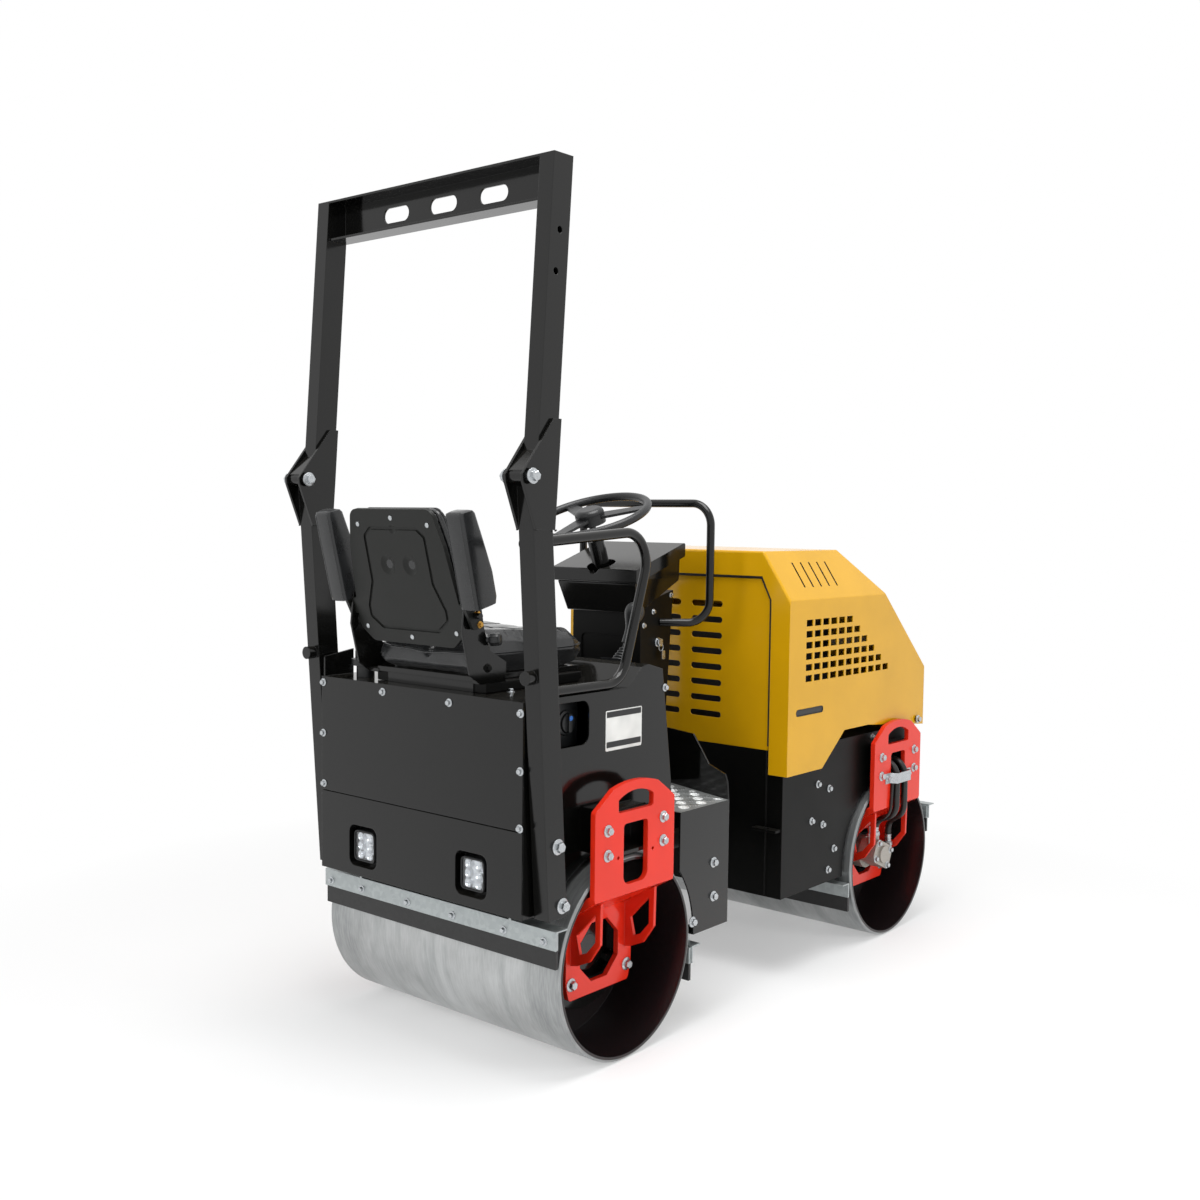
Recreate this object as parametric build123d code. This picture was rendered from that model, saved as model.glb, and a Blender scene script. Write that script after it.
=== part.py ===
from build123d import *
import math
import os

os.makedirs("parts", exist_ok=True)

# Frame: X forward, Y left, Z up, ground at Z 0. Sizes are written from the rear drum's axis and
# the finished pieces are shifted so that the origin lies under the middle of the machine.

# Drums
DRUM_R = 280.0
DRUM_W = 920.0
DRUM_SHELL = 14.0
DRUM_EDGE = 5.0
WHEELBASE = 1488.0
PIVOT_X = WHEELBASE / 2
WEB_Y = DRUM_W / 2 - 210
WEB_T = 16.0
WEB_HOLE_R = 30.0
WEB_HOLE_AT = 190.0
CORE_R = 85.0
STUB_R = 35.0
STUB_END = WEB_Y + 68

# Fits
RUN_FIT = 0.05
SNUG_FIT = 0.02
DRUM_GAP = 20.0
PART_GAP = 1.0
SWING_GAP = 8.0

# Drum carriers: bearing plate on four rubber buffers
CARRIER_R = 175.0
CARRIER_Y = DRUM_W / 2 - 170
CARRIER_T = 15.0
HOUSING_R = 66.0
HOUSING_IN = WEB_Y + 12
BUFFER_R = 30.0
BUFFER_X = 118.0
BUFFER_Z = 70.0

# Red drum brackets
BRACKET_OUT = DRUM_W / 2 + 22
BRACKET_T = 16.0
BRACKET_HALF = 170.0
BRACKET_TOP = 771.0
BRACKET_CROWN = (95.0, 757.0)
BRACKET_SHOULDER = 705.0
BRACKET_BEND = 475.0
BRACKET_STEP_Z = 400.0
BRACKET_LOW = 165.0
BRACKET_LOW_HALF = 139.0
BRACKET_IN = DRUM_W / 2 - 102
GUSSET_X = 115.0
GUSSET_T = 10.0
WINDOW_HALF = 52.0
WINDOW_LO = 492.0
WINDOW_HI = 658.0
GRIP_HALF = 75.0
GRIP_LO = 690.0
GRIP_HI = 745.0
BRACKET_BOLT_X = 119.0
BRACKET_BOLT_Z = (651.0, 585.0)
BRACKET_HOLE_R = 9.0
CLAMP_HOLE = (74.0, 571.0, 5.0)
EYE_R = 88.0

# Arms that carry the brackets
ARM_HALF = 78.0
ARM_LO = 568.0
ARM_HI = 690.0
ARM_WALL = 10.0
ARM_FLANGE_HALF = 150.0
ARM_FLANGE_T = 14.0
PASSAGE_HALF = 58.0
PASSAGE_Z = (588.0, 668.0)

# Hydraulic motors in the drum ends and their hoses
MOTOR_R = 58.0
MOTOR_L = 124.0
MOTOR_H = 84.0
MOTOR_TILT = 24.0
MOTOR_Y = (DRUM_W / 2 - 92, DRUM_W / 2 - 28)
PORT_Y = DRUM_W / 2 - 56
PORT_R = 15.0
ELBOW_X = 88.0
HOSE_R = 11.0
DRAIN_R = 5.0
HOSE_BEND = 55.0
HOSE_Z = 625.0
HOSE_ROOT = BRACKET_OUT - 150

# Rear body
TUB_HALF = DRUM_W / 2 - 60
TUB_WALL = 6.0
TUB_REAR = -355.0
TUB_LOW = 448.0
TUB_DECK = 1005.0
TUB_FRONT_LO = 262.0
TUB_SILL = 716.0
TUB_NOSE_X = 215.0
TUB_NOSE_Z = 1046.0
TUB_PEAK_X = 149.0
TUB_PEAK_Z = 1064.0
TUB_RISE_X = 60.0
COVER_T = 4.0
COVER_SPLIT = 674.0
COVER_GAP = 3.0
HATCH_X = (-250.0, -103.0)
HATCH_Z = (870.0, 988.0)
HATCH_R = 28.0
LAMP_Y = 217.0
LAMP_Z = 534.0
LAMP_HALF = 44.0
LAMP_DEPTH = 34.0
LAMP_R = 16.0
RECESS_HALF = 59.0
RECESS_R = 24.0
TRAY_T = 4.0

# Roll-over frame
POST_X = 70.0
POST_Y = 50.0
POST_WALL = 6.0
POST_IN = TUB_HALF + 8
POST_LOW = 448.0
POST_LOW_FRONT = -250.0
POST_LEAN = 3.97
HOOP_LEAN = 3.9
HOOP_TOP = 2362.0
HOOP_TOP_FRONT = -255.0
BAR_H = 112.0
BAR_T = 6.0
BAR_SLOT_L = 105.0
BAR_SLOT_W = 42.0
BAR_SLOT_PITCH = 190.0
PIN_X = -412.0
PIN_Z = 1569.0
PIN_R = 12.0
CHEEK_T = 8.0
SPLIT_Z = 1566.0
LUG_R = 24.0
STOP_Z = 1071.0
STOP_R = 18.0
STOP_L = 26.0
POST_BOLT = ((-269.0, 480.0), (-289.0, 636.0))
SPACER_R = 15.0
HOOP_HOLE = ((-303.0, 2175.0), (-316.0, 2073.0))
HOOP_HOLE_R = 9.0

# Platform, steps and toe boards
FLOOR_Z = 640.0
FLOOR_T = 6.0
FLOOR_REAR = TUB_FRONT_LO
STEP_HALF = TUB_HALF + 60
STEP_FRONT = WHEELBASE / 2 - 273
STEP_LOW = 272.0
STEP_REAR = 230.0
TOE_IN_X = STEP_FRONT + 95
TOE_IN_Y = 159.0
SHEET = 5.0
TOE_TOP = 812.0

# Centre joint and steering cylinder
PIVOT_R = 25.0
TONGUE_R = 42.0
TONGUE_Z = (405.0, 495.0)
EAR_GAP = 6.0
EAR_T = 22.0
BEAM_HALF = 110.0
BEAM_Z = (360.0, 540.0)
BEAM_END = PIVOT_X - 104
CYL_Z = 450.0
CYL_REAR = (PIVOT_X - 360, -157.0)
CYL_FRONT = (PIVOT_X, -165.0)
CYL_R = 30.0
CYL_LEN = 250.0
CYL_CAP = 50.0
ROD_IN = 132.0
ROD_R = 15.0
ROD_EYE_R = 22.0
STEER_DEG = 28.0

# Seat
SEAT_HALF = 214.0
SEAT_LEAN = 14.0
BACK_FOOT = (-374.0, TUB_DECK + 155)
BACK_H = 336.0
BACK_SHELL = 12.0
BACK_PAD = 72.0
CUSHION_REAR = -338.0
CUSHION_FRONT = 124.0
CUSHION_LOW = TUB_DECK + 45
SIDE_PLATE_T = 6.0
ARM_PIVOT = (-370.0, BACK_FOOT[1] + 55)
ARM_PIVOT_R = 8.0
ARMREST_L = 250.0
ARMREST_W = 62.0
ARM_IN = 228.0

# Console, wheel and rails
COLUMN_HALF = 138.0
COLUMN_REAR = STEP_FRONT - 29
CONSOLE_HALF = 172.0
CONSOLE_NEAR = (COLUMN_REAR - 66, 1313.0)
CONSOLE_FAR = (COLUMN_REAR + 180, 1396.0)
CONSOLE_LOW = (COLUMN_REAR - 22, 1174.0)
LID_H = 44.0
LID_LIP = 12.0
WHEEL_R = 182.0
WHEEL_TUBE = 13.0
WHEEL_LEAN = 20.9
WHEEL_HUB = (COLUMN_REAR - 79, 1460.0)
SHAFT_R = 11.0
SHAFT_POCKET_R = 46.0
HUB_R = 46.0
RAIL_R = 12.7
RAIL_X = COLUMN_REAR + 190
RAIL_Y = 262.0
RAIL_TOP = 1519.0
RAIL_LOW = 1145.0
RAIL_BEND = 70.0
SIDE_RAIL_R = 14.0
SIDE_RAIL_BACK = 1402.0
SIDE_RAIL_FRONT = (182.0, 1438.0)
SIDE_RAIL_FOOT = (48.0, -230.0)
SIDE_RAIL_BEND = 85.0
LEVER_FOOT = (TUB_NOSE_X - 16, -260.0, TUB_NOSE_Z + 6)
LEVER_LEAN = 22.5
LEVER_L = 186.0
LEVER_R = 8.0
KNOB_L = 126.0
KNOB_R = 29.0
STEM_R = 14.0
BOOT_R = 30.0
BOOT_FOLD = 9.0
BOOT_FOLDS = 5
SIDE_RAIL_Y = 14 - TUB_HALF

# Front frame and hood
FRAME_REAR = PIVOT_X + 56
FRAME_HALF = DRUM_W / 2 - 22
FRAME_LOW = 262.0
FRAME_TOP = 735.0
FRAME_FRONT = WHEELBASE + 202
FRAME_WALL = 8.0
HOOD_REAR = FRAME_REAR - 7
HOOD_HALF = FRAME_HALF + 19
HOOD_WALL = 4.0
HOOD_LOW = 659.0
HOOD_EAVE = 1217.0
HOOD_TOP = 1371.0
HOOD_TOP_HALF = HOOD_HALF - 103
HOOD_TOP_END = WHEELBASE - 238
HOOD_NOSE = FRAME_FRONT + 33
HOOD_NOSE_Z = 948.0
HOOD_NOSE_LOW = 728.0
HOOD_STEP_X = (HOOD_REAR + 215, HOOD_REAR + 357)
HOOD_STEP_Z = 770.0
HINGE_X = FRAME_FRONT - 22
HINGE_Z = 752.0
HINGE_R = 9.0
PANEL_X = FRAME_REAR + 1
PANEL_HALF = HOOD_HALF - 77
PANEL_TOP_HALF = HOOD_TOP_HALF - 10
PANEL_TOP = HOOD_TOP - 87
PANEL_GAP = 7.0
REAR_SLOT_L = 124.0
REAR_SLOT_W = 20.0
REAR_SLOT_PITCH = 52.0
REAR_SLOT_Z = HOOD_EAVE - 23
REAR_SLOT_Y = (-132.0, 36.0, 204.0)
REAR_SLOT_N = 8
GRID_X = HOOD_REAR + 101
GRID_Z = HOOD_EAVE - 75
GRID_PITCH = 51.0
GRID_ROW = 35.7
GRID_HOLE = (39.0, 21.0)
GRID_ROWS = (6, 7, 8, 9, 10, 11)
EAVE_SLOT_X = HOOD_REAR + 128
EAVE_SLOT_PITCH = 51.0
EAVE_SLOT_L = 94.0
EAVE_SLOT_W = 8.0
EAVE_SLOT_N = 5
HAND_SLOT = (HOOD_REAR + 130, HOOD_STEP_Z + 87)
HAND_SLOT_L = 166.0
HAND_SLOT_W = 22.0
HOOD_ROUND = 8.0
ENGINE = (FRAME_REAR + 140, WHEELBASE - 68, 230.0, 1150.0)

# Scrapers
SCRAPER_HALF = DRUM_W / 2 + 2
SCRAPER_LEG = 50.0
SCRAPER_T = 4.0
SCRAPER_GAP = 5.5
SCRAPER_SHELF = 40.0
SCRAPER_HANG = TUB_HALF - 100
SCRAPER_HIGH = 318.0
SCRAPER_DEEP = 140.0
BLADE_T = 10.0
BLADE_DROP = 50.0

AXLE_Z = DRUM_R
ARCH_R = DRUM_R + DRUM_GAP


def block(x0, x1, y0, y1, z0, z1):
    return Pos((x0 + x1) / 2, (y0 + y1) / 2, (z0 + z1) / 2) * Box(abs(x1 - x0), abs(y1 - y0), abs(z1 - z0))


def sheet_xz(face, y0, y1):
    return extrude(Plane.XZ.offset(-max(y0, y1)) * face, amount=abs(y1 - y0))


def prism_xz(points, y0, y1, radius=0):
    face = make_face(Polyline(*points, close=True))
    if radius:
        face = fillet(face.vertices(), radius)
    return sheet_xz(face, y0, y1)


def prism_yz(points, x0, x1, radius=0):
    face = make_face(Polyline(*points, close=True))
    if radius:
        face = fillet(face.vertices(), radius)
    return extrude(Plane.YZ.offset(min(x0, x1)) * face, amount=abs(x1 - x0))


def prism_xy(points, z0, z1):
    face = make_face(Polyline(*points, close=True))
    return extrude(Plane.XY.offset(z0) * face, amount=z1 - z0)


def rod_y(x, z, radius, y0, y1):
    return Pos(x, (y0 + y1) / 2, z) * Rot(90, 0, 0) * Cylinder(radius, abs(y1 - y0))


def rod_x(y, z, radius, x0, x1):
    return Pos((x0 + x1) / 2, y, z) * Rot(0, 90, 0) * Cylinder(radius, abs(x1 - x0))


def rod_z(x, y, radius, z0, z1):
    return Pos(x, y, (z0 + z1) / 2) * Cylinder(radius, abs(z1 - z0))


def pipe(points, bend, radius):
    path = FilletPolyline(*points, radius=bend)
    start = Plane(origin=path @ 0, z_dir=path % 0)
    return sweep(start * Circle(radius), path=path)


def left_of(shape):
    return mirror(shape, about=Plane.XZ)


# Drums: a rolled shell, two webs with a plug hole each, a core tube and two stub shafts
def drum(x):
    half = DRUM_W / 2
    inner = DRUM_R - DRUM_SHELL
    ring = [
        (inner, -half),
        (DRUM_R - DRUM_EDGE, -half),
        (DRUM_R, -half + DRUM_EDGE),
        (DRUM_R, half - DRUM_EDGE),
        (DRUM_R - DRUM_EDGE, half),
        (inner, half),
    ]
    shell = revolve(Plane.XZ * make_face(Polyline(*ring, close=True)), axis=Axis.Z)
    body = shell + Cylinder(CORE_R, 2 * WEB_Y) + Cylinder(STUB_R, 2 * STUB_END)
    for side in (-1, 1):
        web = Pos(0, 0, side * (WEB_Y - WEB_T / 2)) * Cylinder(inner + DRUM_SHELL / 2, WEB_T)
        plug = Pos(0, WEB_HOLE_AT, side * WEB_Y) * Cylinder(WEB_HOLE_R, 4 * WEB_T)
        body = body + web - plug
    return Pos(x, 0, AXLE_Z) * Rot(90, 0, 0) * body


def carrier(x):
    plate = rod_y(x, AXLE_Z, CARRIER_R, -CARRIER_Y, -CARRIER_Y - CARRIER_T)
    housing = rod_y(x, AXLE_Z, HOUSING_R, -HOUSING_IN, -STUB_END)
    body = plate + housing
    for dx in (-BUFFER_X, BUFFER_X):
        for dz in (-BUFFER_Z, BUFFER_Z):
            body += rod_y(x + dx, AXLE_Z + dz, BUFFER_R, -CARRIER_Y - CARRIER_T, BRACKET_T - BRACKET_IN)
    return body - rod_y(x, AXLE_Z, STUB_R + RUN_FIT, 0, -BRACKET_IN)


# Drum brackets: thick plate bent inward over the drum's rim, with two gussets below the bend
def bracket(x):
    out = -BRACKET_OUT
    low = -BRACKET_IN
    t = BRACKET_T
    strip = [
        (out, BRACKET_TOP),
        (out + t, BRACKET_TOP),
        (out + t, BRACKET_BEND + t / 2),
        (low + t, BRACKET_STEP_Z + t / 2),
        (low + t, BRACKET_LOW),
        (low, BRACKET_LOW),
        (low, BRACKET_STEP_Z - t / 2),
        (out, BRACKET_BEND - t / 2),
    ]
    half = [
        BRACKET_CROWN,
        (BRACKET_HALF, BRACKET_SHOULDER),
        (BRACKET_HALF, BRACKET_BEND),
        (BRACKET_LOW_HALF, BRACKET_STEP_Z),
        (BRACKET_LOW_HALF, BRACKET_LOW + 44),
        (BRACKET_LOW_HALF - 14, BRACKET_LOW),
    ]
    edge = [(x + px, pz) for px, pz in half] + [(x - px, pz) for px, pz in reversed(half)]
    crown = ThreePointArc(edge[-1], (x, BRACKET_TOP), edge[0])
    outline = make_face(Polyline(*edge) + crown)
    outline = fillet([v for v in outline.vertices() if v.Y < BRACKET_CROWN[1] - 1], 10)
    body = prism_yz(strip, x - BRACKET_HALF, x + BRACKET_HALF)
    body = body & sheet_xz(outline, out - 1, low + t + 1)
    side = [
        (out + 20, BRACKET_BEND - 23),
        (out + 22, BRACKET_BEND - 135),
        (out + 59, AXLE_Z + 7),
        (out + 100, AXLE_Z - 12),
        (low + 4, AXLE_Z - 18),
        (low + 4, BRACKET_STEP_Z),
    ]
    hole = [
        (out + 38, BRACKET_BEND - 55),
        (out + 38, BRACKET_BEND - 130),
        (out + 68, AXLE_Z + 30),
        (out + 92, AXLE_Z + 20),
        (out + 104, AXLE_Z + 70),
    ]
    for dx in (-GUSSET_X, GUSSET_X):
        body += prism_yz(side, x + dx - GUSSET_T / 2, x + dx + GUSSET_T / 2)
        body -= prism_yz(hole, x + dx - GUSSET_T, x + dx + GUSSET_T)
    window = [
        (x - WINDOW_HALF, WINDOW_LO),
        (x + WINDOW_HALF, WINDOW_LO),
        (x + WINDOW_HALF, WINDOW_HI),
        (x - WINDOW_HALF, WINDOW_HI),
    ]
    window = make_face(Polyline(*window, close=True))
    window = fillet([v for v in window.vertices() if v.Y < WINDOW_HI - 1], 26)
    window = fillet([v for v in window.vertices() if v.Y > WINDOW_HI - 1], 12)
    body -= sheet_xz(window, out - 5, out + t + 5)
    grip = [
        (x - GRIP_HALF, GRIP_HI - 20),
        (x - GRIP_HALF, GRIP_LO),
        (x + GRIP_HALF, GRIP_LO),
        (x + GRIP_HALF, GRIP_HI - 20),
    ]
    grip_face = make_face(Polyline(*grip) + ThreePointArc(grip[-1], (x, GRIP_HI), grip[0]))
    body -= sheet_xz(fillet(grip_face.vertices(), 7), out - 5, out + t + 5)
    for dx in (-CLAMP_HOLE[0], CLAMP_HOLE[0]):
        body -= rod_y(x + dx, CLAMP_HOLE[1], CLAMP_HOLE[2], out - 5, out + t + 5)
    for dx in (-BRACKET_BOLT_X, BRACKET_BOLT_X):
        for z in BRACKET_BOLT_Z:
            body -= rod_y(x + dx, z, BRACKET_HOLE_R, out - 5, out + t + 5)
    eye = Pos(x, 0, AXLE_Z) * Rot(90, 0, 0) * extrude(RegularPolygon(EYE_R, 8, rotation=22.5), 60, both=True)
    return body - Pos(0, low, 0) * eye


# Gear motor on the bearing housing, with an elbow on its low port, and its three hoses
def motor(x):
    base = rod_y(x, AXLE_Z, MOTOR_R, -STUB_END, -MOTOR_Y[0] - 1)
    case = block(-MOTOR_L / 2, MOTOR_L / 2, -MOTOR_Y[0], -MOTOR_Y[1], -MOTOR_H / 2, MOTOR_H / 2)
    case = fillet(case.edges().filter_by(Axis.Y), 22)
    case += rod_y(0, 0, MOTOR_H * 0.36, -MOTOR_Y[1] + 1, -MOTOR_Y[1] - 8)
    body = base + Pos(x, 0, AXLE_Z) * Rot(0, MOTOR_TILT, 0) * case
    body += rod_z(x - 10, -PORT_Y, PORT_R, AXLE_Z + 20, AXLE_Z + 70)
    body += rod_z(x - 48, -PORT_Y, PORT_R / 2, AXLE_Z + 40, AXLE_Z + 70)
    elbow = [(x + 30, -PORT_Y, AXLE_Z - 26), (x + ELBOW_X, -PORT_Y, AXLE_Z - 26), (x + ELBOW_X, -PORT_Y, AXLE_Z + 18)]
    return body + pipe(elbow, 24, PORT_R - 1)


def hoses(x):
    runs = [
        (-27, HOSE_R, HOSE_Z, -27, 438, -10, 400, AXLE_Z + 70),
        (31, HOSE_R, HOSE_Z, 31, 436, ELBOW_X, 380, AXLE_Z + 18),
        (-42, DRAIN_R, HOSE_Z - 19, -58, 436, -48, 398, AXLE_Z + 70),
    ]
    routes = []
    for at, radius, top, low_at, low, end_at, turn, end in runs:
        out = -BRACKET_OUT - radius - 1
        route = [
            (x + at, -HOSE_ROOT, top),
            (x + at, out, top),
            (x + low_at, out, low),
            (x + end_at, -PORT_Y, turn),
            (x + end_at, -PORT_Y, end),
        ]
        routes.append(pipe(route, HOSE_BEND, radius))
    return routes


def arm(x, inner):
    face = -BRACKET_OUT + BRACKET_T
    tube = block(x - ARM_HALF, x + ARM_HALF, face, inner, ARM_LO, ARM_HI)
    flange = block(x - ARM_FLANGE_HALF, x + ARM_FLANGE_HALF, face, face + ARM_FLANGE_T, ARM_LO, ARM_HI)
    core = block(
        x - ARM_HALF + ARM_WALL,
        x + ARM_HALF - ARM_WALL,
        face - 1,
        inner - ARM_WALL,
        ARM_LO + ARM_WALL,
        ARM_HI - ARM_WALL,
    )
    body = tube + flange - core
    for dx in (-BRACKET_BOLT_X, BRACKET_BOLT_X):
        for z in BRACKET_BOLT_Z:
            body -= rod_y(x + dx, z, BRACKET_HOLE_R, face - 5, face + ARM_FLANGE_T + 5)
    return body


def hose_passage(x, wall_in):
    return block(x - PASSAGE_HALF, x + PASSAGE_HALF, 1 - BRACKET_OUT + BRACKET_T, wall_in + 2, *PASSAGE_Z)


# Rear body: sheet shell over the drum with its deck, carrying arms and a hatch on the right
def arch(x, half):
    return rod_y(x, AXLE_Z, ARCH_R, -half, half)


tub_profile = [
    (TUB_REAR, TUB_LOW),
    (TUB_REAR, TUB_DECK),
    (TUB_RISE_X, TUB_DECK),
    (TUB_PEAK_X - 30, TUB_PEAK_Z - 6),
    (TUB_PEAK_X, TUB_PEAK_Z),
    (TUB_NOSE_X, TUB_NOSE_Z),
    (TUB_FRONT_LO, TUB_SILL),
    (TUB_FRONT_LO, TUB_LOW),
]
tub_inner = [
    (TUB_REAR - 1, TUB_LOW + TUB_WALL),
    (TUB_REAR - 1, TUB_DECK - TUB_WALL),
    (TUB_RISE_X + 3, TUB_DECK - TUB_WALL),
    (TUB_PEAK_X - 28, TUB_PEAK_Z - 14),
    (TUB_PEAK_X, TUB_PEAK_Z - 2 * TUB_WALL),
    (TUB_NOSE_X - TUB_WALL, TUB_NOSE_Z - TUB_WALL),
    (TUB_FRONT_LO - TUB_WALL, TUB_SILL),
    (TUB_FRONT_LO - TUB_WALL, TUB_LOW + TUB_WALL),
]
rear_tub = prism_xz(tub_profile, -TUB_HALF, TUB_HALF) - arch(0, 2 * TUB_HALF)
cavity = prism_xz(tub_inner, TUB_WALL - TUB_HALF, TUB_HALF - TUB_WALL)
rear_tub -= cavity - rod_y(0, AXLE_Z, ARCH_R + TUB_WALL, -TUB_HALF, TUB_HALF)
hatch = [
    (HATCH_X[0], HATCH_Z[0]),
    (HATCH_X[1], HATCH_Z[0]),
    (HATCH_X[1], HATCH_Z[1]),
    (HATCH_X[0], HATCH_Z[1]),
]
rear_tub -= prism_xz(hatch, -TUB_HALF - 5, 5 - TUB_HALF + TUB_WALL, HATCH_R)
rear_arm = arm(0, -TUB_HALF + 1)
rear_tub = rear_tub + rear_arm + left_of(rear_arm) - left_of(hose_passage(0, -TUB_HALF + TUB_WALL))
left_rim = [
    (TUB_REAR, TUB_DECK - 2),
    (TUB_REAR + 105, TUB_DECK - 2),
    (TUB_REAR + 105, TUB_DECK + 73),
    (TUB_REAR, TUB_DECK + 57),
]
rear_tub += prism_xz(left_rim, TUB_HALF - 10, TUB_HALF - 4)

rear_cover = block(
    TUB_REAR - COVER_T, TUB_REAR, -TUB_HALF, TUB_HALF, COVER_SPLIT + COVER_GAP / 2, TUB_DECK
)
rear_lamp_panel = block(
    TUB_REAR - COVER_T, TUB_REAR, -TUB_HALF, TUB_HALF, TUB_LOW, COVER_SPLIT - COVER_GAP / 2
)


def lamp_hole(x0, x1, half, radius, y, z):
    corners = [(y - half, z - half), (y + half, z - half), (y + half, z + half), (y - half, z + half)]
    return prism_yz(corners, x0, x1, radius)


rear_lamps = []
for side in (-1, 1):
    y = side * LAMP_Y
    tray = lamp_hole(
        TUB_REAR - 1, TUB_REAR + LAMP_DEPTH + TRAY_T, RECESS_HALF + TRAY_T, RECESS_R + TRAY_T, y, LAMP_Z
    )
    rear_lamp_panel += tray
    rear_lamp_panel -= lamp_hole(TUB_REAR - 20, TUB_REAR + LAMP_DEPTH, RECESS_HALF, RECESS_R, y, LAMP_Z)
    cup = lamp_hole(TUB_REAR + 4, TUB_REAR + LAMP_DEPTH, LAMP_HALF, LAMP_R, y, LAMP_Z)
    bowl = lamp_hole(TUB_REAR, TUB_REAR + 12, LAMP_HALF - 6, LAMP_R - 5, y, LAMP_Z)
    rear_lamps.append(cup - bowl)

# Rear yoke: box beam with a tongue and eye for the centre pin, and the steering cylinder's lug
rear_yoke = block(TUB_FRONT_LO, BEAM_END, -BEAM_HALF, BEAM_HALF, *BEAM_Z)
rear_yoke -= block(
    TUB_FRONT_LO + 20, BEAM_END - 20, -BEAM_HALF - 1, BEAM_HALF - 12, BEAM_Z[0] + 12, BEAM_Z[1] - 12
) & block(TUB_FRONT_LO, BEAM_END, -BEAM_HALF + 12, BEAM_HALF, *BEAM_Z)
rear_yoke += block(BEAM_END - 5, PIVOT_X, -TONGUE_R, TONGUE_R, *TONGUE_Z)
rear_yoke += rod_z(PIVOT_X, 0, TONGUE_R, *TONGUE_Z)
rear_yoke -= rod_z(PIVOT_X, 0, PIVOT_R + RUN_FIT, 0, BEAM_Z[1])
rear_yoke -= arch(0, BEAM_HALF + 5)
for z0 in (CYL_Z - 34, CYL_Z + 22):
    lug = block(CYL_REAR[0] - 26, CYL_REAR[0] + 26, CYL_REAR[1], 1 - BEAM_HALF, z0, z0 + 12)
    rear_yoke += lug + rod_z(*CYL_REAR, 26, z0, z0 + 12)
rear_yoke -= rod_z(*CYL_REAR, 12 + SNUG_FIT, 0, BEAM_Z[1] + 50)

centre_pin = rod_z(PIVOT_X, 0, PIVOT_R, TONGUE_Z[0] - EAR_GAP - EAR_T - 8, TONGUE_Z[1] + EAR_GAP + EAR_T + 14)

# Steering cylinder and its rod, on the line between the two eyes
cyl_dx = CYL_FRONT[0] - CYL_REAR[0]
cyl_dy = CYL_FRONT[1] - CYL_REAR[1]
CYL_SPAN = math.hypot(cyl_dx, cyl_dy)
cyl_at = Pos(CYL_REAR[0], CYL_REAR[1], CYL_Z) * Rot(0, 0, math.degrees(math.atan2(cyl_dy, cyl_dx)))
barrel = rod_x(0, 0, CYL_R, 34, CYL_LEN) + rod_x(0, 0, 18, 0, 40) + rod_z(0, 0, ROD_EYE_R, -20, 20)
barrel -= rod_x(0, 0, ROD_R + RUN_FIT, CYL_CAP, CYL_LEN + 1)
barrel += rod_z(0, 0, 12, -40, 40)
steering_cylinder = cyl_at * barrel
rod_body = rod_x(0, 0, ROD_R, ROD_IN, CYL_SPAN - 10) + rod_z(CYL_SPAN, 0, ROD_EYE_R, -18, 18)
rod_body -= rod_z(CYL_SPAN, 0, 12, -30, 30)
steering_rod = cyl_at * rod_body

# Platform: tread floor with a boxed step on each side
toe_dx = TOE_IN_X - STEP_FRONT
floor_outline = [
    (FLOOR_REAR, -STEP_HALF),
    (STEP_FRONT, -STEP_HALF),
    (TOE_IN_X, -TOE_IN_Y),
    (TOE_IN_X, TOE_IN_Y),
    (STEP_FRONT, STEP_HALF),
    (FLOOR_REAR, STEP_HALF),
]
platform = prism_xy(floor_outline, FLOOR_Z - FLOOR_T, FLOOR_Z)
step_side = [
    (STEP_REAR, FLOOR_Z),
    (STEP_FRONT, FLOOR_Z),
    (STEP_FRONT, STEP_LOW),
    (STEP_REAR, STEP_LOW),
]
step_core = [
    (STEP_REAR - 1, FLOOR_Z - FLOOR_T),
    (STEP_FRONT - SHEET, FLOOR_Z - FLOOR_T),
    (STEP_FRONT - SHEET, STEP_LOW + SHEET),
    (STEP_REAR - 1, STEP_LOW + SHEET),
]
step = prism_xz(step_side, -STEP_HALF, -TUB_HALF - PART_GAP) - arch(0, STEP_HALF + 5)
step -= prism_xz(step_core, SHEET - STEP_HALF, 0)
platform = platform + step + left_of(step)

toe_len = math.hypot(STEP_HALF - TOE_IN_Y, toe_dx)
toe_face = [
    (0, FLOOR_Z),
    (toe_len, FLOOR_Z),
    (toe_len - 6, FLOOR_Z + 52),
    (toe_len - 18, FLOOR_Z + 74),
    (toe_len - 97, FLOOR_Z + 91),
    (toe_len - 178, TOE_TOP),
    (0, TOE_TOP),
]
toe_plane = Plane(
    origin=(TOE_IN_X, -TOE_IN_Y, 0),
    x_dir=(-toe_dx, TOE_IN_Y - STEP_HALF, 0),
    z_dir=(-(STEP_HALF - TOE_IN_Y), toe_dx, 0),
)
toe_side = extrude(toe_plane * make_face(Polyline(*toe_face, close=True)), amount=SHEET)
toe_mid = block(TOE_IN_X - SHEET, TOE_IN_X, -TOE_IN_Y - 2, -COLUMN_HALF - PART_GAP, FLOOR_Z, TOE_TOP)
toe_board = [toe_mid + toe_side, left_of(toe_mid + toe_side)]


# Roll-over frame: leaning lower posts with hinge cheeks, and a hoop that folds back
def post_x(z):
    return POST_LOW_FRONT - (z - POST_LOW) * math.tan(math.radians(POST_LEAN))


def hoop_x(z):
    return HOOP_TOP_FRONT - (HOOP_TOP - z) * math.tan(math.radians(HOOP_LEAN))


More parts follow.
